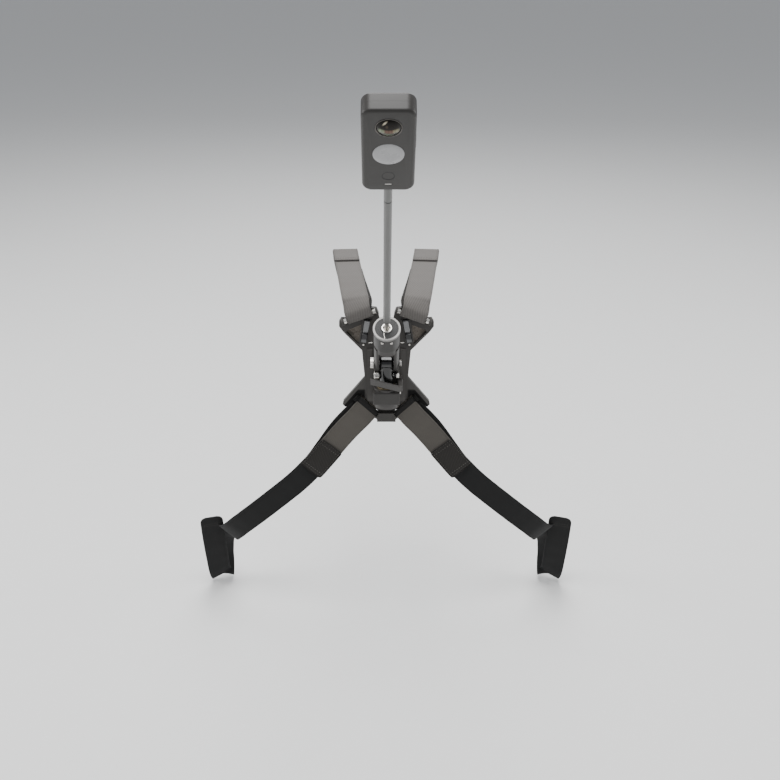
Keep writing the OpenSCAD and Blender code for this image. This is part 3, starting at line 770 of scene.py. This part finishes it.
class Threadwork:
    """Rows of stitches, or any small shape repeated along a path, made by one Geometry Nodes tree."""

    def __init__(self) -> None:
        """Builds the tree with its named inputs."""
        tree = bpy.data.node_groups.new("stitch_row", "GeometryNodeTree")
        face = tree.interface
        face.new_socket(name="Path", in_out="INPUT", socket_type="NodeSocketGeometry")
        self.ids = {}
        for name, start in (("Pitch", 0.003), ("Length", 0.002), ("Gauge", 0.0004)):
            socket = face.new_socket(name=name, in_out="INPUT", socket_type="NodeSocketFloat")
            socket.default_value = start
            self.ids[name] = socket.identifier
        socket = face.new_socket(name="Thread", in_out="INPUT", socket_type="NodeSocketMaterial")
        self.ids["Thread"] = socket.identifier
        face.new_socket(name="Stitches", in_out="OUTPUT", socket_type="NodeSocketGeometry")
        new, link = tree.nodes.new, tree.links.new
        given, out = new("NodeGroupInput"), new("NodeGroupOutput")
        curve, spread = new("GeometryNodeMeshToCurve"), new("GeometryNodeResampleCurve")
        spread.mode = "LENGTH"
        bead, size = new("GeometryNodeMeshUVSphere"), new("ShaderNodeCombineXYZ")
        bead.inputs["Segments"].default_value = 6
        bead.inputs["Rings"].default_value = 4
        bead.inputs["Radius"].default_value = 0.5
        put, run = new("GeometryNodeInstanceOnPoints"), new("GeometryNodeInputTangent")
        turn = new("FunctionNodeAlignRotationToVector")
        turn.axis = "X"
        real, coat = new("GeometryNodeRealizeInstances"), new("GeometryNodeSetMaterial")
        link(given.outputs["Path"], curve.inputs[0])
        link(curve.outputs[0], spread.inputs["Curve"])
        link(given.outputs["Pitch"], spread.inputs["Length"])
        link(given.outputs["Length"], size.inputs[0])
        link(given.outputs["Gauge"], size.inputs[1])
        link(given.outputs["Gauge"], size.inputs[2])
        link(run.outputs[0], turn.inputs["Vector"])
        link(spread.outputs[0], put.inputs["Points"])
        link(bead.outputs["Mesh"], put.inputs["Instance"])
        link(turn.outputs[0], put.inputs["Rotation"])
        link(size.outputs[0], put.inputs["Scale"])
        link(put.outputs[0], real.inputs[0])
        link(real.outputs[0], coat.inputs["Geometry"])
        link(given.outputs["Thread"], coat.inputs["Material"])
        link(coat.outputs[0], out.inputs[0])
        self.tree = tree

    def sew(self, name: str, paths: Sequence[Sequence[Vector]], finish: Finish, like: str,
            pitch: float = 0.003, length: float = 0.0022, gauge: float = 0.0005) -> bpy.types.Object:
        """Sews rows of stitches.

        Args:
            name: the piece's name.
            paths: rows of points in metres.
            finish: the thread's finish.
            like: the CAD node that the row is sewn to.
            pitch: distance from stitch to stitch.
            length: length of a stitch.
            gauge: thickness of the thread.

        Returns:
            The stitches as one plain mesh.
        """
        verts = [v for path in paths for v in path]
        edges, start = [], 0
        for path in paths:
            edges += [(start + k, start + k + 1) for k in range(len(path) - 1)]
            start += len(path)
        mesh = bpy.data.meshes.new(name)
        mesh.from_pydata([tuple(v) for v in verts], edges, [])
        piece = bpy.data.objects.new(name, mesh)
        bpy.context.scene.collection.objects.link(piece)
        rows = piece.modifiers.new("rows", "NODES")
        rows.node_group = self.tree
        for key, given in (("Pitch", pitch), ("Length", length), ("Gauge", gauge), ("Thread", finish.material())):
            rows[self.ids[key]] = given
        plain_mesh(piece)
        smooth(piece, 80)
        return hand_in(piece, finish, like)


# ---------------------------------------------------------------- webbing
Station = tuple[float, float, float, float, float, float]
Shape = tuple[list[Vector], list[list[int]], list[tuple[float, float]]]


def spline(a: float, b: float, c: float, d: float, u: float) -> float:
    """A point between b and c on a smooth curve through all four."""
    return 0.5 * (2 * b + (c - a) * u + (2 * a - 5 * b + 4 * c - d) * u * u + (3 * b - a - 3 * c + d) * u ** 3)


@dataclass
class Band:
    """A band of webbing swept through stations of place (millimetres) and width direction."""

    stations: Sequence[Station]
    width: float
    thickness: float = 0.0018
    mirrored: bool = False
    round_end: float = 0.0
    fine: int = 10
    ripple: float = 0.00012
    frames: list[tuple[Vector, Vector, Vector, float]] = field(default_factory=list)

    def __post_init__(self) -> None:
        """Works out the band's centre line, side and face directions and lengths."""
        p = self.stations
        rows = []
        for i in range(len(p) - 1):
            quad = (p[max(i - 1, 0)], p[i], p[i + 1], p[min(i + 2, len(p) - 1)])
            rows += [[spline(*(q[k] for q in quad), j / self.fine) for k in range(6)] for j in range(self.fine)]
        rows.append(list(p[-1]))
        spots = [Vector(r[:3]) * MM for r in rows]
        length = 0.0
        for i, row in enumerate(rows):
            run = (spots[min(i + 1, len(rows) - 1)] - spots[max(i - 1, 0)]).normalized()
            side = Vector(row[3:])
            side = (side - run * side.dot(run)).normalized()
            if i:
                length += (spots[i] - spots[i - 1]).length
            self.frames.append((spots[i], side, run.cross(side), length))

    @property
    def length(self) -> float:
        """Length of the centre line."""
        return self.frames[-1][3]

    def flip(self, spot: Vector) -> Vector:
        """Puts a point on the left side of the harness when the band is mirrored."""
        return Vector((-spot.x, spot.y, spot.z)) if self.mirrored else spot

    def at(self, along: float, across: float, lift: float) -> Vector:
        """A point near the band.

        Args:
            along: distance from the band's start.
            across: distance from its middle, towards its side direction.
            lift: height above its middle surface.

        Returns:
            The point in metres.
        """
        for (a, sa, na, la), (b, sb, nb, lb) in zip(self.frames, self.frames[1:]):
            if along <= lb or lb == self.length:
                u = (along - la) / max(lb - la, 1e-9)
                return self.flip(a.lerp(b, u) + sa.lerp(sb, u) * across + na.lerp(nb, u) * lift)
        return self.flip(self.frames[-1][0])

    def section(self, half: float) -> list[tuple[float, float]]:
        """The band's cross-section with soft selvedges, as offsets across and up."""
        thin = self.thickness / 2
        top = [(half * c, thin * h) for c, h in ((0.965, 0.96), (0.90, 1.0), (0.84, 0.86), (0.5, 0.92), (0, 0.95))]
        tip = [(half, 0.0), (half * 0.992, thin * 0.6)]
        upper = tip + top + [(-x, z) for x, z in reversed(top[:-1])] + [(-x, z) for x, z in reversed(tip[1:])]
        return upper + [(-half, 0.0)] + [(x, -z) for x, z in reversed(upper[1:])]

    def parts(self) -> Shape:
        """Corners, faces and the map in metres of each corner."""
        verts, faces, chart = [], [], []
        for spot, side, up, length in self.frames:
            half = self.width / 2
            left = self.length - length
            if self.round_end and left < self.round_end:
                half -= self.round_end - math.sqrt(max(self.round_end ** 2 - (self.round_end - left) ** 2, 1e-9))
            wave = self.ripple * (math.sin(length * 310) + 0.6 * math.sin(length * 127 + 1))
            for x, z in self.section(half):
                verts.append(self.flip(spot + side * x + up * (z + wave)))
                chart.append((x, length))
        count = len(self.section(self.width / 2))
        for i in range(len(self.frames) - 1):
            for k in range(count):
                a, b = i * count + k, i * count + (k + 1) % count
                faces.append([a, b, b + count, a + count])
        faces.append(list(range(count)))
        faces.append([len(verts) - 1 - k for k in range(count)])
        return verts, faces, chart


def cloth_piece(name: str, shapes: Sequence[Shape]) -> bpy.types.Object:
    """Joins shapes of cloth, each with its map, into one piece."""
    verts, faces, chart = [], [], []
    for v, f, c in shapes:
        faces += [[i + len(verts) for i in face] for face in f]
        verts += v
        chart += c
    piece = mesh_piece(name, verts, faces)
    layer = piece.data.uv_layers.new(name="cloth")
    for loop in piece.data.loops:
        layer.data[loop.index].uv = chart[loop.vertex_index]
    recalc(piece)
    smooth(piece, 60)
    return piece


def weave_bands(name: str, bands: Sequence[Band], finish: Finish, node: str, whole: bool = True) -> bpy.types.Object:
    """Joins bands into one strap.

    Args:
        name: the piece's name.
        bands: the bands.
        finish: their webbing.
        node: the CAD node that the strap belongs to.
        whole: whether the strap replaces the node.

    Returns:
        The strap.
    """
    piece = cloth_piece(name, [band.parts() for band in bands])
    return hand_in(piece, finish, node, [node] if whole else ())


def patch(band: Band, corner: float) -> Shape:
    """A rounded rectangle of cloth with its middle surface on a band.

    Args:
        band: the band.
        corner: radius of its corners.

    Returns:
        Corners, faces and map, as Band.parts gives.
    """
    middle = reach = band.length / 2
    half, height = band.width / 2, band.thickness
    rim = []
    for sx, sy, first in ((1, 1, 0), (-1, 1, 90), (-1, -1, 180), (1, -1, 270)):
        for k in range(9):
            turn = math.radians(first + k * 11.25)
            rim.append((sx * (reach - corner) + corner * math.cos(turn),
                        sy * (half - corner) + corner * math.sin(turn)))
    dense = []
    for (ax, ay), (bx, by) in zip(rim, rim[1:] + rim[:1]):
        steps = max(1, round(math.hypot(bx - ax, by - ay) / 0.002))
        dense += [(ax + (bx - ax) * k / steps, ay + (by - ay) * k / steps) for k in range(steps)]
    levels = [(1, 0.0), (1, height * 0.55), (0.985, height * 0.9), (0.96, height), (0.9, height * 0.93),
              (0.84, height), (0.5, height), (0.2, height)]
    verts, faces, chart = [], [], []
    for scale, lift in levels:
        for x, y in dense:
            verts.append(band.at(middle + x * scale, y * scale, height / 2 - lift))
            chart.append((y * scale, x * scale))
    verts.append(band.at(middle, 0, -height / 2))
    chart.append((0, 0))
    count = len(dense)
    for r in range(len(levels) - 1):
        faces += [[r * count + k, r * count + (k + 1) % count, (r + 1) * count + (k + 1) % count, (r + 1) * count + k]
                  for k in range(count)]
    top = (len(levels) - 1) * count
    faces += [[top + k, top + (k + 1) % count, len(verts) - 1] for k in range(count)]
    return verts, faces, chart


@dataclass
class Harness:
    """The four straps with their tabs, hems and stitches."""

    upper_pin: tuple[float, float] = (30.5, 62.5)
    upper_slant: float = 20
    lower_pin: tuple[float, float] = (22.3, -51)
    lower_slant: float = 42.5
    pin_y: float = -11
    upper_width: float = 0.0305
    lower_width: float = 0.030
    wrap: float = 3.2

    def near_pin(self, pin: tuple[float, float], slant: float, way: int, run: float, out: float) -> Station:
        """A station beside a strap pin.

        Args:
            pin: the pin's centre, x and z.
            slant: how far its outer end drops (upper) or rises (lower), in degrees.
            way: 1 for a strap that goes up, -1 for one that goes down.
            run: distance from the pin along the strap.
            out: distance in front of the pin.

        Returns:
            The station.
        """
        a = math.radians(slant)
        bar = (math.cos(a), 0, -math.sin(a) * way)
        go = (math.sin(a), 0, math.cos(a) * way)
        return (pin[0] + run * go[0], self.pin_y - out, pin[1] + run * go[2], *bar)

    def upper(self, run: float, out: float) -> Station:
        """A station near the upper pin."""
        return self.near_pin(self.upper_pin, self.upper_slant, 1, run, out)

    def lower(self, run: float, out: float) -> Station:
        """A station near the lower pin."""
        return self.near_pin(self.lower_pin, self.lower_slant, -1, run, out)

    def lay(self, x: float, z: float, lean: float, y: float) -> Station:
        """A station of a lower strap that leans outwards by an angle in degrees."""
        a = math.radians(lean)
        return (x, y, z, math.cos(a), 0, math.sin(a))

    def loop(self, near: object) -> list[Station]:
        """The turn round a strap pin."""
        w = self.wrap
        return [near(9, -w - 0.6), near(2, -w), near(-w * 0.8, -w * 0.75), near(-w * 1.2, 0), near(-w * 0.8, w * 0.75)]

    def upper_return(self, left: bool) -> Band:
        """The run of an upper strap that comes back behind the main one."""
        w = self.wrap
        return Band([(44, 78, 89.6, 0.985, -0.12, -0.03), (40, 50, 86.2, 0.985, -0.12, -0.03),
                     (33.2, 6, 80.2, 0.97, -0.06, -0.1), (31.4, -3.6, 75.2, 0.95, 0.02, -0.25),
                     self.upper(7.5, -w - 0.3), self.upper(2, -w)], self.upper_width, mirrored=left)

    def upper_bands(self, left: bool) -> list[Band]:
        """The main run, its turned-in end and the stitched hem of an upper strap."""
        side = (0.99, -0.13, 0)
        w = self.wrap
        main = [*self.loop(self.upper)[1:], self.upper(2, w), self.upper(9, w - 0.4),
                (35, -6.5, 79, 0.95, 0.02, -0.2), (37, 5, 84, 0.97, -0.06, -0.1), (42, 50, 89.5, 0.985, -0.12, -0.03),
                (47, 100, 93.2, *side), (50.6, 137, 95.4, *side), (52, 155, 91.3, *side), (51, 164, 78, *side),
                (47.5, 167.5, 58, *side)]
        back = [(47.4, 164, 60, *side), (50.6, 160.6, 76.2, *side), (51.5, 152.4, 88, *side), (50.2, 136, 92, *side)]
        hem = [(50.8, 138, 98, *side), (49.3, 121, 97, *side), (47.3, 100, 95.7, *side)]
        return [Band(s, self.upper_width, mirrored=left) for s in (main, back, hem)]

    def lower_bands(self, left: bool) -> list[Band]:
        """The elastic's front run with its turn round the pin, and the run behind it."""
        w, lay = self.wrap, self.lay
        front = [lay(87, -132.8, 40, -2.85), lay(79, -123, 38.5, -2.85), lay(65.2, -105.7, 38, -3.2),
                 lay(52.5, -89, 37.5, -5.2), lay(41.5, -74.5, 38, -9.6), lay(32.6, -63.4, 40, -13.5),
                 self.lower(7, w + 0.1), self.lower(1.5, w)]
        back = [self.lower(3, w - 0.2), *self.loop(self.lower)[:0:-1], lay(34.4, -60.2, 41, -8.3),
                lay(44.8, -72, 39, -5.2), lay(55.6, -86.6, 38, -1.9), lay(67.2, -104.1, 38, -0.9),
                lay(79.6, -122.5, 38.5, -0.9), lay(87, -132.8, 40, -0.9)]
        return [Band(run, self.lower_width, mirrored=left) for run in (front, back)]

    def hook_band(self, left: bool) -> Band:
        """The hook-and-loop run round the pack's side, with its returned tail."""
        lay = self.lay
        return Band([lay(84, -129, 39.5, 1.1), lay(106, -153, 45, 1.3), lay(131.3, -175.8, 49, 1.8),
                     lay(161.1, -201.5, 49, 3.4), lay(180.6, -219.4, 46, 8), lay(193, -233.4, 44, 16.5),
                     lay(201, -245.5, 43, 32), (206, 50, -252, 0.7, -0.2, 0.62),
                     (212, 66, -273, 0.72, -0.5, 0.36), (214.5, 75, -298, 0.75, -0.6, 0.1),
                     (215, 76, -317, 0.78, -0.58, -0.05), (216.5, 68, -327, 0.82, -0.5, -0.12),
                     (219, 59, -317, 0.86, -0.42, -0.14), (220.5, 51, -290, 0.93, -0.3, -0.12),
                     (222, 43, -257, 0.95, -0.25, -0.1), (223, 37, -226, 0.96, -0.2, -0.08)],
                    self.lower_width - 0.001, mirrored=left, round_end=0.007, fine=14)

    def tab_band(self, left: bool) -> Band:
        """The middle surface of a stitched tab."""
        lay = self.lay
        return Band([lay(64.6, -105, 38, -5), lay(76, -119.3, 38.4, -4.85), lay(87.8, -133.9, 39.6, -4.75),
                     lay(92.6, -139.6, 41, -2.3)], self.lower_width + 0.0006, 0.0014, mirrored=left)

    def sew_tab(self, band: Band) -> list[list[Vector]]:
        """Rows of stitches round a tab: its border and one bar across each end."""
        half, near, far = band.width / 2 - 0.0022, 0.0024, band.length - 0.0024
        lift = -0.00078
        row = 24
        sides = [[band.at(near + (far - near) * k / row, s * half, lift) for k in range(row + 1)] for s in (-1, 1)]
        ends = [[band.at(a, -half + 2 * half * k / row, lift) for k in range(row + 1)]
                for a in (near, near + 0.004, far - 0.004, far)]
        return sides + ends

    def build(self, thread: Threadwork) -> None:
        """Makes both sides of the harness."""
        tabs: list[Shape] = []
        rows: list[list[Vector]] = []
        for left in (False, True):
            hand = "left" if left else "right"
            upper = self.upper_bands(left)
            weave_bands(f"upper_strap_{hand}", upper, UPPER_WEB, f"strap_upper_{hand}")
            # the upper return run wears the darker copy of its webbing as painted shade
            weave_bands(f"upper_strap_return_{hand}", [self.upper_return(left)], UPPER_WEB_SHADED,
                        f"strap_upper_{hand}", False)
            front, back = self.lower_bands(left)
            weave_bands(f"lower_strap_{hand}", [front], LOWER_WEB, f"strap_lower_{hand}")
            # the lower back run, with its turn round the pin, wears the darker copy of the elastic as painted shade
            weave_bands(f"lower_strap_return_{hand}", [back], LOWER_WEB_SHADED, f"strap_lower_{hand}", False)
            hook = self.hook_band(left)
            weave_bands(f"hook_and_loop_strap_{hand}", [hook], HOOK_WEB, f"hook_strap_{hand}")
            hem, half = upper[2], self.upper_width / 2 - 0.0025
            seam = [[hem.at(a, -half + 2 * half * k / 30, 0.00098) for k in range(31)]
                    for a in (hem.length - 0.0025, hem.length - 0.0065, 0.004)]
            thread.sew(f"hem_stitches_{hand}", seam, PALE_THREAD, f"strap_upper_{hand}")
            tail = [[hook.at(hook.length - d, -0.010 + 0.020 * k / 20, s * 0.00098) for k in range(21)]
                    for d in (0.010, 0.013) for s in (-1, 1)]
            thread.sew(f"tail_stitches_{hand}", tail, DARK_THREAD, f"hook_strap_{hand}")
            band = self.tab_band(left)
            tabs.append(patch(band, 0.0035))
            rows += self.sew_tab(band)
        piece = cloth_piece("stitched_tabs", tabs)
        hand_in(piece, TAB_WEB, "strap_tabs", ["strap_tabs"])
        thread.sew("tab_stitches", rows, TAB_THREAD, "strap_tabs")


# ---------------------------------------------------------------- frame, carriage and handle
@dataclass
class BackFrame:
    """The moulded plate with its pad, pins and release buttons."""

    edge: float = 0.0006
    cell: float = 0.0011
    quilt: float = 0.016
    dip: float = 0.0006
    back_side: float = -0.00125

    def pad(self) -> None:
        """The foam pad, crowned on both faces and pulled in at its edge."""
        piece = cad_copy("back_pad", "foam_back_pad")
        grid = piece.modifiers.new("grid", "REMESH")
        grid.mode = "VOXEL"
        grid.voxel_size = self.cell
        ease = piece.modifiers.new("ease", "SMOOTH")
        ease.factor = 0.5
        ease.iterations = 3
        plain_mesh(piece)
        for v in piece.data.vertices:
            waves = [0.5 + 0.5 * math.cos(2 * math.pi * run / self.quilt) for run in (v.co.x + v.co.z, v.co.x - v.co.z)]
            if v.co.y > self.back_side:
                v.co.y -= max(waves) ** 10 * self.dip
        smooth(piece, 70)
        hand_in(piece, FOAM, "back_pad", ["back_pad"])

    def build(self) -> None:
        """Makes the plate and everything that stays on it."""
        machined("back_frame", PLATE, self.edge, 3)
        self.pad()
        for node, finish, edge in (("upper_strap_pins", BRIGHT, 0.0004), ("lower_strap_pins", DARK_STEEL, 0.0003),
                                   ("pad_screws", BRIGHT, 0.0002), ("release_springs", BRIGHT, 0.0001),
                                   ("release_button_left", BLUE_GREY, 0.0009),
                                   ("release_button_right", BLUE_GREY, 0.0009)):
            machined(node, finish, edge, 3)


@dataclass
class Carriage:
    """The block that slides in the frame, its lever and its swivel post."""

    edge: float = 0.0006

    def build(self) -> None:
        """Makes the block, its cover, the lever and the clamp."""
        for node, finish, edge in (("base_block", NYLON, self.edge), ("base_cover", NYLON_LIGHT, 0.0004),
                                   ("lever_pin", BRIGHT, 0.0002), ("cam_lever", LEVER_GREY, 0.0009),
                                   ("knuckle_post", GLOSS_BLACK, 0.0008), ("thrust_washer", BRASS, 0.0001),
                                   ("clamp_bolt", BRIGHT, 0.0008), ("clamp_spacer", GLOSS_BLACK, 0.0003),
                                   ("clamp_nut", BRIGHT, 0.0003)):
            machined(node, finish, edge, 3)


@dataclass
class Handle:
    """The fork, sleeve and capped end of the stick."""

    key_spot: tuple[float, float, float] = (-2.6 * MM, -13 * MM, 77.6 * MM)
    key_turn: float = math.radians(7)
    key_size: tuple[float, float, float] = (0.8 * MM, 9.6 * MM, 1.3 * MM)

    def build(self) -> None:
        """Makes the tilting handle and its fastenings."""
        for node, finish, edge in (("fork_arm", NYLON_LIGHT, 0.0009), ("handle_sleeve", SLEEVE, 0.0005),
                                   ("cap_screws", BRIGHT, 0.0002), ("end_cap", CAP_FACE, 0.0003),
                                   ("cap_rim", RIM, 0.0006), ("tilt_axle", BRIGHT, 0.0006),
                                   ("axle_nut", BRIGHT, 0.0003), ("friction_washers", RUBBER, 0.0001),
                                   ("tilt_knob", BRIGHT, 0.0004), ("rod_ferrule", BRIGHT, 0.0006)):
            machined(node, finish, edge, 3)
        self.key()

    def key(self) -> None:
        """The bright key that lies in the cap's slot."""
        place = STICK @ Matrix.Translation(self.key_spot) @ Matrix.Rotation(self.key_turn, 4, "Z")
        wide, long, tall = self.key_size
        spots = [place @ Vector((x, y, z)) for x in (0, wide) for y in (0, long) for z in (0, tall)]
        faces = [(0, 1, 3, 2), (4, 6, 7, 5), (0, 4, 5, 1), (2, 3, 7, 6), (0, 2, 6, 4), (1, 5, 7, 3)]
        piece = mesh_piece("cap_key", spots, faces)
        recalc(piece)
        soften(piece, 0.00025, 2)
        smooth(piece)
        hand_in(piece, BRIGHT, "cap_rim")


@dataclass
class Stick:
    """The four nested tubes and the head that holds the camera."""

    edge: float = 0.0002

    def build(self) -> None:
        """Makes the tubes and the head."""
        for node in ("tube_1", "tube_2", "tube_3", "rod_4"):
            machined(node, GUNMETAL, self.edge)
        machined("head_platform", GUNMETAL, self.edge * 2, 3)
        machined("head_screw", BRIGHT, self.edge)
        machined("head_washer", RUBBER, self.edge)


# ---------------------------------------------------------------- camera
@dataclass
class PocketCamera:
    """The two-lens pocket camera."""

    width: float = 46.2 * MM
    height: float = 107.6 * MM
    depth: float = 20.5 * MM
    corner: float = 9 * MM
    lens_up: float = 86.2 * MM
    screen_up: float = 51.7 * MM
    button_up: float = 21.7 * MM
    lens_radius: float = 10.2 * MM

    def place(self, up: float, front: bool = True) -> Matrix:
        """Local axes with +Z out of the camera's front or back face, at a height on its middle line."""
        turn = Matrix.Rotation(math.radians(90 if front else -90), 4, "X")
        return STICK @ Matrix.Translation((0, 0, CAMERA_AT + up)) @ turn

    def lens(self, front: bool) -> None:
        """A domed lens with a stepped rim."""
        face = self.depth / 2
        r, bulge = self.lens_radius, 0.0041
        sphere = (r * r + bulge * bulge) / (2 * bulge)
        steps = [r * math.sin(a * math.pi / 32) for a in range(1, 16)]
        outline = [(0.0, face - 0.0012), (r, face - 0.0012), (r, face)]
        outline += [(x, face + math.sqrt(sphere ** 2 - x * x) - sphere + bulge) for x in reversed(steps)]
        outline.append((0.0, face + bulge))
        name = "front" if front else "rear"
        middle = self.place(self.lens_up, front) @ Vector((0, 0, face))
        glass = CoatedGlass(f"lens_glass_{name}", (0.010, 0.0072, 0.005), middle, 1.0 if front else -1.0)
        piece = lathe(f"lens_dome_{name}", outline, self.place(self.lens_up, front), 128)
        hand_in(piece, glass, f"lens_{name}", [f"lens_{name}"])

    def screen(self) -> None:
        """The round display cover with a softened rim."""
        face, r = self.depth / 2, 0.0136
        outline = [(0.0, face - 0.0007), (r, face - 0.0007), (r, face + 0.00005), (r - 0.0002, face + 0.0002),
                   (r * 0.6, face + 0.00026), (0.0, face + 0.00028)]
        piece = lathe("screen_cover", outline, self.place(self.screen_up), 128)
        hand_in(piece, SCREEN, "screen_glass", ["screen_glass"])

    def bezel(self) -> None:
        """The raised ring round each lens, with a thin dark lip against the glass."""
        face = self.depth / 2
        outline = [(0.0103, face - 0.0018), (0.01145, face - 0.0018), (0.01145, face + 0.0001), (0.0113, face + 0.0004),
                   (0.0110, face + 0.0005), (0.0106, face + 0.0003), (0.0103, face - 0.0002)]
        sides = [lathe(f"bezel_{k}", [*outline, outline[0]], self.place(self.lens_up, k == 0), 128) for k in (0, 1)]
        joined = merge("lens_rings", sides)
        hand_in(joined, RING, "lens_bezels", ["lens_bezels"])

    def groove(self) -> None:
        """The dark parting line round the shutter button."""
        face = self.depth / 2
        outline = [(0.0051, face - 0.0004), (0.0057, face - 0.0004), (0.0057, face + 0.00003), (0.0051, face + 0.00003)]
        piece = lathe("button_groove", [*outline, outline[0]], self.place(self.button_up), 96)
        hand_in(piece, SEAM_BLACK, "camera_front_shell")

    def build(self) -> None:
        """Makes the shells, lenses, screen and buttons, and finishes the inner parts."""
        for node in ("camera_front_shell", "camera_rear_shell"):
            machined(node, CAMERA_GREY, 0.0002, 3, flat=False)
        for node, finish, edge in (("shutter_button", CAMERA_KEY, 0.0004),
                                   ("power_button", CAMERA_KEY, 0.0004), ("port_door", CAMERA_KEY, 0.0004),
                                   ("microphone_grille", GRILLE, 0.0002), ("tripod_insert", BRASS, 0.0002)):
            machined(node, finish, edge, 3)
        for node, finish in (("lens_barrels", GLOSS_BLACK), ("display_panel", GLOSS_BLACK), ("battery", BLUE_GREY),
                             ("main_board", BOARD), ("shell_screws", BRIGHT), ("door_pin", BRIGHT)):
            keep(node, finish)
        self.lens(True)
        self.lens(False)
        self.screen()
        self.bezel()
        self.groove()


# ---------------------------------------------------------------- studio
@dataclass
class Studio:
    """A pale floor, soft lights and the camera that looks at the object."""

    focal: float = 54.92
    height: float = 23.0
    distance: float = 1.3886
    rise: float = 0.028
    aside: float = -0.0066
    floor_gap: float = 0.004

    def floor(self) -> None:
        """A wide pale floor just under the lowest strap."""
        low = CAD_BOX[0].z - self.floor_gap
        piece = mesh_piece("floor", [Vector((x, y, low)) for x, y in ((-30, -30), (30, -30), (30, 30), (-30, 30))],
                           [(0, 1, 2, 3)])
        paint(piece, Moulded("pale_floor", (0.80, 0.80, 0.79), rough=0.7, mottle=0.01))

    def light(self, name: str, spot: Sequence[float], size: float, power: float, aim: Sequence[float]) -> None:
        """A square soft light that faces a point."""
        data = bpy.data.lights.new(name, "AREA")
        data.size = size
        data.energy = power
        lamp = bpy.data.objects.new(name, data)
        lamp.location = spot
        lamp.rotation_mode = "QUATERNION"
        lamp.rotation_quaternion = (Vector(aim) - Vector(spot)).to_track_quat("-Z", "Y")
        bpy.context.scene.collection.objects.link(lamp)

    def build(self) -> None:
        """Makes the floor, the lights and the camera."""
        self.floor()
        world = bpy.data.worlds.new("studio")
        world.use_nodes = True
        world.node_tree.nodes["Background"].inputs[0].default_value = (0.92, 0.95, 1.0, 1)
        world.node_tree.nodes["Background"].inputs[1].default_value = 0.42
        bpy.context.scene.world = world
        self.light("key_light", (-0.1, -0.70, 2.1), 1.3, 44, (0, -0.1, 0))
        self.light("top_light", (0.0, 0.55, 2.2), 1.2, 34, (0, -0.1, 0.2))
        self.light("left_light", (-2.0, 0.1, 0.7), 1.0, 22, (0, -0.1, 0.1))
        self.light("right_light", (2.0, 0.2, 0.6), 1.0, 16, (0, -0.1, 0.1))
        self.light("back_light", (0.1, 1.9, 1.6), 1.4, 20, (0, 0, 0))
        e = math.radians(self.height)
        look, up = Vector((0, math.cos(e), -math.sin(e))), Vector((0, math.sin(e), math.cos(e)))
        data = bpy.data.cameras.new("view")
        data.lens = self.focal
        data.shift_x = 0.0119
        eye = bpy.data.objects.new("view", data)
        eye.location = Vector((self.aside, -0.008, 0)) - look * self.distance - up * self.rise
        eye.rotation_mode = "QUATERNION"
        eye.rotation_quaternion = look.to_track_quat("-Z", "Y")
        data.clip_start, data.clip_end = 0.01, 100
        bpy.context.scene.collection.objects.link(eye)
        bpy.context.scene.camera = eye


def main() -> None:
    """Builds every sub-assembly."""
    logging.basicConfig(level=logging.INFO, format="%(name)s: %(message)s")
    Studio().build()
    for part in (BackFrame(), Carriage(), Stick(), PocketCamera(), Handle()):
        LOG.info("building %s", type(part).__name__)
        part.build()
    Harness().build(Threadwork())
    bpy.context.view_layer.update()


if __name__ == "__main__":
    main()
